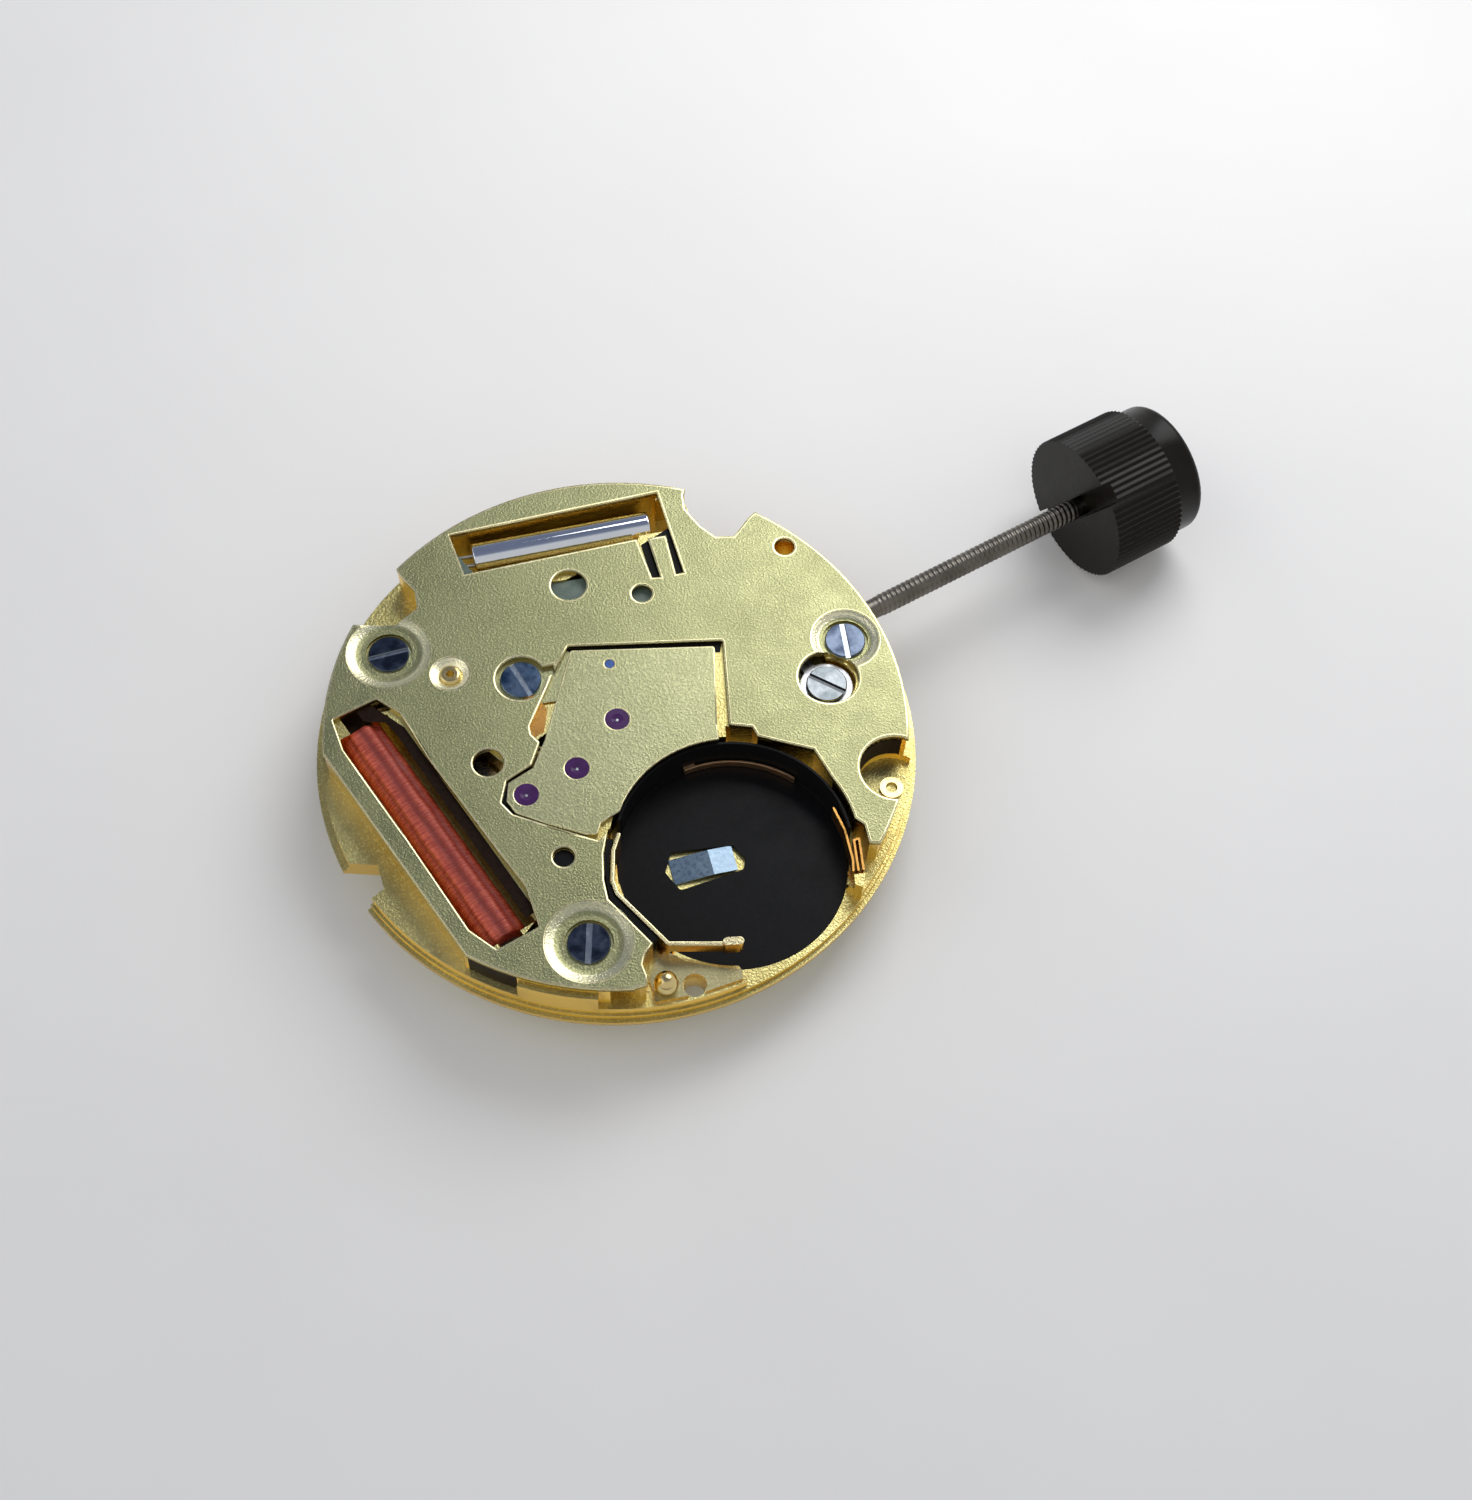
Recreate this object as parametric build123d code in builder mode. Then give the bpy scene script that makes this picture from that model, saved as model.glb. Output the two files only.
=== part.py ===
from build123d import *
import os
from math import atan2, cos, degrees, radians, sin

# Quartz watch movement for three hands, lying dial side down on the plane z = 0.
# The origin is on the axis of the hands in the dial seat, +Z points to the bridge side
# and +X runs along the winding stem to the knob. Lengths in millimetres.

os.makedirs("parts", exist_ok=True)

# Fits and cuts
running_fit = 0.02
pocket_fit = 0.12
seat_fit = 0.02
overrun = 1.0

# Gear train
rotor_distance = 2.40
intermediate_distance = 2.872
third_distance = 2.7615
motion_module = 0.10
pinion_teeth = 8
intermediate_teeth = 48
second_teeth = 40
third_teeth = 60
centre_teeth = 64
cannon_teeth = 10
minute_teeth = 30
hour_teeth = 32
setting_teeth = 24
wheel_tip_share = 0.70
pinion_tip_share = 0.60
tip_gap_share = 0.35
wheel_tooth_share = 0.40
pinion_tooth_share = 0.38
wheel_crest_share = 0.30
pinion_crest_share = 0.60
intermediate_angle = 205.1
rotor_angle = 181.2
third_angle = 67.4
minute_angle = 25.3
setting_angle = -11.9
wheel_thickness = 0.10
wheel_step = 0.30
pinion_overhang = 0.05
arbor_radius = 0.12
pivot_radius = 0.06
pivot_length = 0.16

# Hand posts, each with a shoulder behind its hand seat, and motion work
second_post_radius = 0.10
post_shoulder = 0.17
minute_post_wall = 0.16
cannon_wall = 0.12
hour_wall = 0.16
hour_foot_length = 0.10
hour_post_length = 0.80
minute_post_length = 0.40
second_post_length = 0.45
stud_radius = 0.15
motion_bridge_thickness = 0.10
motion_gap = 0.04
hour_thickness = 0.12
web = 0.25
motion_rim = 0.50
motion_head_radius = 0.42
motion_head_height = 0.05
motion_shank_radius = 0.20
motion_shank_length = 0.33
setting_hub_radius = 0.30
third_end_radius = 0.20

# Battery well
cell_diameter = 9.5
cell_play = 0.06
liner_wall = 0.12
liner_floor = 0.20
liner_height = 1.85
liner_from = -20.0
liner_to = 136.0
liner_play_angle = 1.0
well_gap = 0.12
well_angle = -80.5
well_rim = 0.43
bridge_well_gap = 0.09
cover_well_gap = 0.31

# Plates
flange_height = 0.26
flange_step = 0.18
step_height = 0.26
ledge_inset = 0.30
ledge_height = 0.43
body_inset = 0.60
cover_inset = 0.52
low_ledge_angles = [-95.0, -66.5]
block_angles = [222.0, 237.0]
block_top = 1.90
opening_angles = [216.5, 221.5]
opening_inset = 0.80
rim_block_top = 1.70
facet_share = 0.856
facet_angle = 184.7
train_headroom = 0.37
bridge_thickness = 0.22
cover_thickness = 0.25
ear_thickness = 0.20
ear_radius = 1.25
floor_thickness = 0.25
corner_round = 0.12

# Coil, stator and crystal
coil_length = 11.1
coil_radius = 1.0
coil_lobe = 0.30
coil_lobes = 5
coil_axis_height = 1.22
coil_angle = 94.1
core_width = 0.80
core_thickness = 0.35
core_reach = 1.25
stator_thickness = 0.40
stator_arm = 0.80
stator_ring_radius = 1.55
rotor_bore_radius = 0.90
magnet_radius = 0.65
magnet_height = 0.55
crystal_radius = 0.75
crystal_length = 8.0
lead_radius = 0.09
lead_length = 0.90
lead_spacing = 0.50
board_thickness = 0.15
chip_side = 2.0
chip_height = 0.50

# Screws
head_radius = 0.875
head_height = 0.16
shank_radius = 0.36
shank_length = 1.00
slot_width = 0.24
slot_depth = 0.10
dish_radii = [1.75, 1.75, 1.44]
dish_ring_radii = [1.19, 1.19, 1.02]
dish_depth = 0.14
dish_lip_slope = 0.25
dish_boss = 0.15
head_sink = 0.12
jewel_radius = 0.515
jewel_cup = 0.08

# Winding work
stem_height = 1.00
stem_radius = 0.45
stem_pull = 0.90
pilot_radius = 0.175
square_side = 0.50
groove_radius = 0.25
neck_radius = 0.42
pinion_radius = 0.70
pinion_length = 1.70
neck_length = 0.75
pinion_collar = 0.45
pinion_setback = 0.18
crown_teeth = 10
crown_depth = 0.22
crown_gap = 0.20
lever_arm = 2.71
lever_swing = 19.0
lever_thickness = 0.30
lever_width = 0.60
lever_hub_radius = 1.12
lever_shoulder_radius = 0.45
lever_pin_radius = 0.20
yoke_arm = 2.43
yoke_swing = 9.7
yoke_angle = 100.7
yoke_width = 0.24
yoke_thickness = 0.25
yoke_hub_radius = 0.50
spring_thickness = 0.15
spring_width = 0.22

# Knob on the stem's outer end
knob_face_place = 24.0
knob_radius = 3.35
knob_skirt_length = 3.5
knob_cap_radius = 3.05
knob_cap_length = 1.5
knob_edge = 0.35
knob_ridges = 72
knob_ridge_depth = 0.07
knob_bore_length = 2.0
knob_slot_width = 1.0
knob_slot_depth = 0.40
knob_slot_angle = -61.0

# Sheet springs of the battery
strip_thickness = 0.15
strip_low = 0.50
strip_high = 2.00
strip_arm_low = 1.35
hook_width = 0.34
hook_rise = 0.12
tab_hole_radius = 0.50
side_spring_inset = 0.10
side_spring_thickness = 0.09
side_spring_height = 0.40
wall_spring_height = 0.85
wall_spring_foot = 0.30
side_spring_angles = [25.0, 85.0]
foot_angle = 6.0
blade_thickness = 0.07
blade_width = 1.15
blade_half = 1.35
blade_rise = 0.16

# Small fittings
small_hole_radius = 0.45
round_hole_radius = 0.775
rotor_hole_radius = 0.65
lever_window_radius = 1.30
bridge_window_radius = 1.08
eyelet_radius = 0.48
eyelet_bore = 0.17
eyelet_dish = 0.80
stud_head_radius = 0.50
stud_neck_radius = 0.35
bush_radius = 0.50
bush_notch_radius = 1.51
bush_height = 0.16

# Places as shares of the plate's radius
notch_post_shares = [(-0.361, 0.96), (-0.359, 0.852), (-0.345, 0.781), (-0.371, 0.712),
                     (-0.459, 0.690), (-0.553, 0.738), (-0.65, 0.80)]
notch_open_shares = [(0.74, 0.76), (0.645, 0.675), (0.622, 0.620), (0.632, 0.53),
                     (0.655, 0.465), (0.711, 0.437), (0.791, 0.477), (0.90, 0.51)]
bay_left_shares = [(0.098, -0.582), (-0.22, -0.33), (-0.279, -0.405), (-0.325, -0.491), (-0.346, -0.555),
                   (-0.301, -0.756), (-0.338, -0.773), (-0.364, -0.802), (-0.370, -0.842),
                   (-0.388, -0.866), (-0.426, -0.857), (-0.50, -1.00), (-0.20, -1.08), (0.10, -1.08)]
bay_right_shares = [(0.098, -0.582), (0.30, -0.19), (0.312, -0.205), (0.370, -0.247), (0.366, -0.287),
                    (0.50, -0.42), (0.492, -0.652), (0.474, -0.689), (0.494, -0.736), (0.484, -0.764),
                    (0.472, -0.799), (0.503, -0.817), (0.60, -0.97), (0.10, -1.08)]
centre_shares = [(-0.004, 0.328), (0.458, 0.090), (0.308, -0.203), (0.305, -0.281), (-0.203, -0.34),
                 (-0.270, -0.362), (-0.388, -0.229), (-0.462, -0.141), (-0.474, -0.086), (-0.422, -0.023),
                 (-0.325, -0.011), (-0.262, 0.049), (-0.272, 0.089), (-0.262, 0.118), (-0.088, 0.268)]
bridge_shares = [(-0.005, 0.309), (0.422, 0.084), (0.273, -0.183), (0.234, -0.266), (-0.125, -0.297),
                 (-0.201, -0.303), (-0.234, -0.308), (-0.263, -0.339), (-0.295, -0.321), (-0.386, -0.223),
                 (-0.452, -0.141), (-0.457, -0.089), (-0.421, -0.033), (-0.326, -0.024), (-0.243, 0.049)]
channel_shares = [(-0.20, 0.32), (-0.08, 0.29), (-0.09, 0.255), (-0.20, 0.27)]
coil_slot_shares = [(-0.648, 0.461), (-0.805, 0.461), (-0.825, 0.340), (-0.794, -0.034), (-0.770, -0.431),
                    (-0.726, -0.533), (-0.578, -0.530), (-0.549, -0.387), (-0.567, -0.219),
                    (-0.602, 0.164), (-0.605, 0.373)]
crystal_slot_shares = [(-0.140, 0.928), (0.573, 0.731), (0.483, 0.391), (0.456, 0.398), (0.507, 0.555),
                       (0.447, 0.576), (0.405, 0.414), (0.378, 0.426), (0.412, 0.592), (-0.170, 0.755)]
board_shares = [(-0.270, 0.66), (-0.260, 0.84), (-0.150, 0.885), (-0.120, 0.660), (0.383, 0.490),
                (0.562, 0.484), (0.625, 0.250), (0.500, 0.156), (0.328, 0.266), (0.016, 0.422),
                (-0.270, 0.414)]
rim_notch_shares = [(-1.02, 0.05), (-0.90, -0.03), (-0.92, -0.115), (-1.03, -0.14)]
skirt_shares = [(-0.56, -0.86), (-0.44, -0.79), (-0.40, -0.88), (-0.50, -0.98)]
tab_shares = [(-0.309, -0.777), (-0.262, -0.758), (-0.244, -0.777), (-0.216, -0.824), (-0.149, -0.885),
              (-0.080, -0.933), (-0.094, -0.962), (-0.240, -0.936), (-0.371, -0.891), (-0.364, -0.875),
              (-0.356, -0.848), (-0.348, -0.813)]
rim_block_shares = [(0.388, -0.848), (0.421, -0.863), (0.388, -0.900), (0.371, -0.879)]
wall_blade_shares = [(0.456, -0.617), (0.445, -0.702), (0.409, -0.806), (0.390, -0.838)]
wall_leg_shares = [(0.405, -0.845), (0.450, -0.748), (0.468, -0.750), (0.421, -0.850)]
wall_foot_shares = [(0.398, -0.822), (0.414, -0.835)]
strip_shares = [(-0.198, -0.358), (-0.241, -0.399), (-0.296, -0.491), (-0.305, -0.536),
                (-0.259, -0.735), (-0.252, -0.767), (-0.112, -0.848), (-0.053, -0.875)]
hook_shares = [(-0.092, -0.857), (-0.056, -0.874)]
coil_middle_shares = (-0.704, -0.055)
crystal_middle_shares = (0.201, 0.752)
crystal_angle = -16.8
cover_screw_shares = [(-0.532, 0.603), (-0.469, -0.651), (0.820, -0.110)]
cover_slot_angles = [-13.2, 58.7, 67.4]
bridge_screw_shares = (-0.200, 0.295)
ear_root_share = 0.6
bridge_slot_angle = -89.7
lever_screw_shares = (0.684, -0.212)
lever_window_shares = (0.690, -0.210)
lever_slot_angle = -58.7
window_shares = (0.117, 0.541)
board_hole_shares = (0.316, 0.388)
rotor_hole_shares = (-0.442, 0.065)
stator_hole_shares = (-0.395, -0.356)
dial_foot_shares = [(0.839, 0.312), (-0.236, -0.905)]
eyelet_shares = (-0.394, 0.427)
stud_shares = (-0.315, -0.864)
bush_shares = (0.695, -0.611)
chip_shares = (0.21, 0.49)
arm_up_shares = [(-0.500, 0.234), (-0.547, 0.437)]
arm_down_shares = [(-0.492, -0.281), (-0.516, -0.516)]
yoke_pivot_shares = (0.578, -0.234)
jumper_shares = [(0.492, -0.273), (0.622, -0.117)]
blade_slot_shares = [(-0.056, -0.445), (0.133, -0.525), (0.144, -0.584), (0.120, -0.615), (-0.095, -0.579),
                     (-0.107, -0.498)]
blade_middle_shares = (0.014, -0.535)
blade_angle = -16.0
motion_screw_angles = [170.0, -75.0]


def polar(centre, distance, angle):
    """Point at a distance and angle from a centre."""
    return (centre[0] + distance * cos(radians(angle)), centre[1] + distance * sin(radians(angle)))


def mesh_turn(angle, teeth, next_teeth, turn=0):
    """Turn of the next gear that puts its teeth in the gaps of the first one."""
    return angle + 180 - 180 / next_teeth + teeth / next_teeth * (angle - turn)


def tip_radius(module, teeth):
    """Outer radius of a wheel."""
    return module * (teeth / 2 + wheel_tip_share)


def gear_shape(teeth, module, turn, bore, is_pinion=False):
    """Toothed outline with its bore: straight flanks on wheels, a pitch corner on pinions."""
    pitch = module * teeth / 2
    tip = pitch + module * (pinion_tip_share if is_pinion else wheel_tip_share)
    root = pitch - module * ((wheel_tip_share if is_pinion else pinion_tip_share) + tip_gap_share)
    half = 180 / teeth * (pinion_tooth_share if is_pinion else wheel_tooth_share)
    crest = half * (pinion_crest_share if is_pinion else wheel_crest_share)
    points = []
    for number in range(teeth):
        middle = turn + 360 / teeth * number
        points.append(polar(origin, root, middle - half))
        if is_pinion:
            points.append(polar(origin, pitch, middle - half))
        points.append(polar(origin, tip, middle - crest))
        points.append(polar(origin, tip, middle + crest))
        if is_pinion:
            points.append(polar(origin, pitch, middle + half))
        points.append(polar(origin, root, middle + half))
    with BuildSketch() as shape:
        Polygon(*points, align=None)
        Circle(bore, mode=Mode.SUBTRACT)
    return shape.sketch


def gear(place, low, height, teeth, module, turn, bore, is_pinion=False):
    """Gear body at its place."""
    with BuildPart() as body:
        with BuildSketch(Plane.XY.offset(low)):
            with Locations(place):
                add(gear_shape(teeth, module, turn, bore, is_pinion))
        extrude(amount=height)
    return body.part


def disc(place, radius, low, high, mode=Mode.ADD):
    """Upright cylinder between two heights."""
    with Locations((place[0], place[1], low)):
        Cylinder(radius, high - low, align=(Align.CENTER, Align.CENTER, Align.MIN), mode=mode)


def on_plate(share):
    """Place on the plate from its share of the plate's radius."""
    return (plate_radius * share[0], plate_radius * share[1])


def outline(shares, rounding=0):
    """Outline from shares of the plate's radius, its corners rounded."""
    with BuildSketch() as shape:
        Polygon(*[on_plate(share) for share in shares], align=None)
        if rounding:
            fillet(shape.vertices(), rounding)
    return shape.sketch


def bars(places, width):
    """Chain of round-ended bars through the places."""
    with BuildSketch() as shape:
        for start, end in zip(places, places[1:]):
            line = Vector(*end) - Vector(*start)
            middle = (Vector(*end) + Vector(*start)) / 2
            with Locations(middle):
                SlotCenterToCenter(line.length, width, rotation=degrees(atan2(line.Y, line.X)))
    return shape.sketch


def sector(place, inner, outer, start, end):
    """Part of a ring between two angles."""
    reach = 2 * outer
    middle = (start + end) / 2
    with BuildSketch() as shape:
        with Locations(place):
            Circle(outer)
            Circle(inner, mode=Mode.SUBTRACT)
        Polygon(place, polar(place, reach, start), polar(place, reach, middle), polar(place, reach, end),
                align=None, mode=Mode.INTERSECT)
    return shape.sketch


def screw(place, under_head, slot_angle, length, shoulder=0):
    """Cheese-head screw with a slot, standing head up."""
    with BuildPart() as body:
        disc(place, shank_radius, under_head - length, under_head)
        if shoulder:
            disc(place, lever_shoulder_radius, under_head - shoulder, under_head)
        disc(place, head_radius, under_head, under_head + head_height)
        top = body.faces().sort_by(Axis.Z)[-1]
        chamfer(top.edges(), slot_width / 6)
        with BuildSketch(Plane.XY.offset(under_head + head_height - slot_depth)):
            with Locations(place):
                Rectangle(3 * head_radius, slot_width, rotation=slot_angle)
        extrude(amount=head_height, mode=Mode.SUBTRACT)
    return body.part


# Heights that follow from the layers
dial_recess = motion_bridge_thickness + 2 * wheel_thickness + hour_thickness + 2 * motion_gap
train_floor = dial_recess + web
centre_low = train_floor + running_fit + pinion_overhang
third_low = centre_low + wheel_step
second_low = third_low + wheel_step
intermediate_low = second_low + wheel_step
body_top = intermediate_low + wheel_thickness + train_headroom
cover_top = body_top + cover_thickness
step_low = flange_height + step_height
ledge_top = step_low + ledge_height
pinion_height = wheel_thickness + 2 * pinion_overhang
hour_low = motion_bridge_thickness + motion_gap
minute_low = hour_low + hour_thickness + motion_gap

# Modules, places of the arbors and outer sizes that follow from them
origin = (0, 0)
rotor_module = 2 * rotor_distance / (pinion_teeth + intermediate_teeth)
second_module = 2 * intermediate_distance / (pinion_teeth + second_teeth)
third_module = 2 * third_distance / (pinion_teeth + third_teeth)
centre_module = 2 * third_distance / (pinion_teeth + centre_teeth)
intermediate_place = polar(origin, intermediate_distance, intermediate_angle)
rotor_place = polar(intermediate_place, rotor_distance, rotor_angle)
third_place = polar(origin, third_distance, third_angle)
minute_place = polar(origin, motion_module * (cannon_teeth + minute_teeth) / 2, minute_angle)
setting_place = polar(minute_place, motion_module * (minute_teeth + setting_teeth) / 2, setting_angle)
centre_tip = tip_radius(centre_module, centre_teeth)
hour_tip = tip_radius(motion_module, hour_teeth)
minute_tip = tip_radius(motion_module, minute_teeth)
setting_tip = tip_radius(motion_module, setting_teeth)
well_radius = cell_diameter / 2 + cell_play
liner_radius = well_radius + liner_wall
well_distance = centre_tip + well_gap + liner_radius
well_place = polar(origin, well_distance, well_angle)
plate_radius = well_distance + well_radius + well_rim
ledge_radius = plate_radius - ledge_inset
body_radius = plate_radius - body_inset
cover_radius = plate_radius - cover_inset
well_floor = floor_thickness
side_spring_radius = well_radius - side_spring_inset - side_spring_thickness
motion_screws_at = [polar(origin, hour_tip + motion_rim + motion_head_radius / 2, motion_screw_angles[0]),
                    polar(setting_place, setting_tip + motion_rim + motion_head_radius / 2,
                          motion_screw_angles[1])]
second_body_radius = second_post_radius + post_shoulder
cannon_bore = second_body_radius + running_fit
cannon_radius = cannon_bore + cannon_wall
minute_post_radius = cannon_bore + minute_post_wall
cannon_body_radius = minute_post_radius + post_shoulder
hour_bore = cannon_body_radius + running_fit
hour_post_radius = hour_bore + hour_wall
hour_foot_radius = hour_post_radius + post_shoulder
hour_post_end = -hour_foot_length - hour_post_length
minute_post_end = hour_post_end - minute_post_length
second_post_end = minute_post_end - second_post_length

# Places taken from the shares
cover_screws_at = [on_plate(share) for share in cover_screw_shares]
bridge_screw_at = on_plate(bridge_screw_shares)
ear_root = tuple(a + ear_root_share * (b - a) for a, b in zip(bridge_screw_at, third_place))
lever_at = on_plate(lever_screw_shares)
yoke_at = on_plate(yoke_pivot_shares)
eyelet_at = on_plate(eyelet_shares)
stud_at = on_plate(stud_shares)
bush_at = on_plate(bush_shares)
chip_at = on_plate(chip_shares)
coil_middle = on_plate(coil_middle_shares)
core_ends = [polar(coil_middle, coil_length / 2 + core_reach, coil_angle + half) for half in (0, 180)]
arm_up = [rotor_place] + [on_plate(share) for share in arm_up_shares] + [core_ends[0]]
arm_down = [rotor_place] + [on_plate(share) for share in arm_down_shares] + [core_ends[1]]
jumper_at = [on_plate(share) for share in jumper_shares]
strip_at = [on_plate(share) for share in strip_shares]
hook_at = [on_plate(share) for share in hook_shares]
wall_blade_at = [on_plate(share) for share in wall_blade_shares]
wall_leg_at = [on_plate(share) for share in wall_leg_shares]
wall_foot_at = [on_plate(share) for share in wall_foot_shares]
crystal_middle = on_plate(crystal_middle_shares)
crystal_height = body_top - crystal_radius - seat_fit
crystal_plane = Plane(origin=(*crystal_middle, crystal_height),
                      x_dir=(-sin(radians(crystal_angle)), cos(radians(crystal_angle)), 0),
                      z_dir=(cos(radians(crystal_angle)), sin(radians(crystal_angle)), 0))
core_low = coil_axis_height - core_thickness / 2
stator_low = core_low - stator_thickness
magnet_low = stator_low + (stator_thickness - magnet_height) / 2
rotor_floor = magnet_low - pocket_fit
board_low = body_top - pocket_fit - board_thickness
cover_head_low = cover_top - head_sink - head_height

# Places along the stem
groove_place = lever_at[0] - lever_arm * sin(radians(lever_swing / 2))
groove_half = lever_pin_radius + 2 * running_fit
lever_low = stem_height + stem_radius + 2 * running_fit
lever_floor = lever_low - running_fit
lever_head_low = lever_low + lever_thickness + 2 * running_fit
pinion_from = setting_place[0] + setting_tip + pinion_setback
neck_from = pinion_from + pinion_collar
bearing_from = groove_place + stem_pull + groove_half + pocket_fit
lever_pin_at = polar(lever_at, lever_arm, 90 + lever_swing / 2)
yoke_tip_at = polar(yoke_at, yoke_arm, yoke_angle)
yoke_low = stem_height - yoke_thickness / 2
along_stem = Plane(origin=(0, 0, stem_height), x_dir=(0, 1, 0), z_dir=(1, 0, 0))


def rim_shape(radius):
    """Outline shared by the plate's body and the cover: the facet, three notches and the battery bay."""
    with BuildSketch() as shape:
        Circle(radius)
        with Locations(polar(origin, plate_radius * (facet_share + 1 / 2), facet_angle)):
            Rectangle(plate_radius, 2 * plate_radius, rotation=facet_angle, mode=Mode.SUBTRACT)
        for shares in (notch_post_shares, notch_open_shares):
            add(outline(shares), mode=Mode.SUBTRACT)
        with Locations(bush_at):
            Circle(bush_notch_radius, mode=Mode.SUBTRACT)
        add(outline(bay_left_shares), mode=Mode.SUBTRACT)
        add(outline(bay_right_shares), mode=Mode.SUBTRACT)
        with Locations(well_place):
            Circle(well_radius + cover_well_gap, mode=Mode.SUBTRACT)
    return shape.sketch


def train_space():
    """Room round the four wheels of the train."""
    with BuildSketch() as shape:
        for place, tip in ((origin, centre_tip), (third_place, tip_radius(third_module, third_teeth)),
                           (intermediate_place, tip_radius(rotor_module, intermediate_teeth))):
            with Locations(place):
                Circle(tip + pocket_fit)
    return shape.sketch


def motion_seat(margin):
    """Outline of the motion work bridge, or of its seat with a margin round it."""
    with BuildSketch() as shape:
        for place, tip in ((origin, hour_tip), (minute_place, minute_tip), (setting_place, setting_tip)):
            with Locations(place):
                Circle(tip + motion_rim + margin)
        for place in motion_screws_at:
            with Locations(place):
                Circle(2 * motion_head_radius + margin)
    return shape.sketch


def arbor(place, low, high, radius=arbor_radius):
    """Arbor between two shoulders with a thin pivot at each end."""
    disc(place, radius, low, high)
    disc(place, pivot_radius, low - pivot_length, high + pivot_length)


def rod(radius, start, end, mode=Mode.ADD):
    """Cylinder on the stem's axis between two places."""
    with Locations((start, 0, stem_height)):
        Cylinder(radius, end - start, rotation=(0, 90, 0), align=(Align.CENTER, Align.CENTER, Align.MIN),
                 mode=mode)


def dish(place, radius, ring_radius):
    """Stamped dish round a screw: an S-shaped slope down to a flat ring."""
    low = cover_top - dish_depth
    with BuildPart() as body:
        with BuildSketch(Plane.XZ):
            with BuildLine():
                slope = Spline((ring_radius, low), (radius, cover_top),
                               tangents=[(1, 0), (1, dish_lip_slope)])
                Polyline(slope @ 1, (radius, cover_top + overrun), (0, cover_top + overrun), (0, low),
                         slope @ 0)
            make_face()
        revolve(axis=Axis.Z)
    return body.part.moved(Location((*place, 0)))


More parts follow.
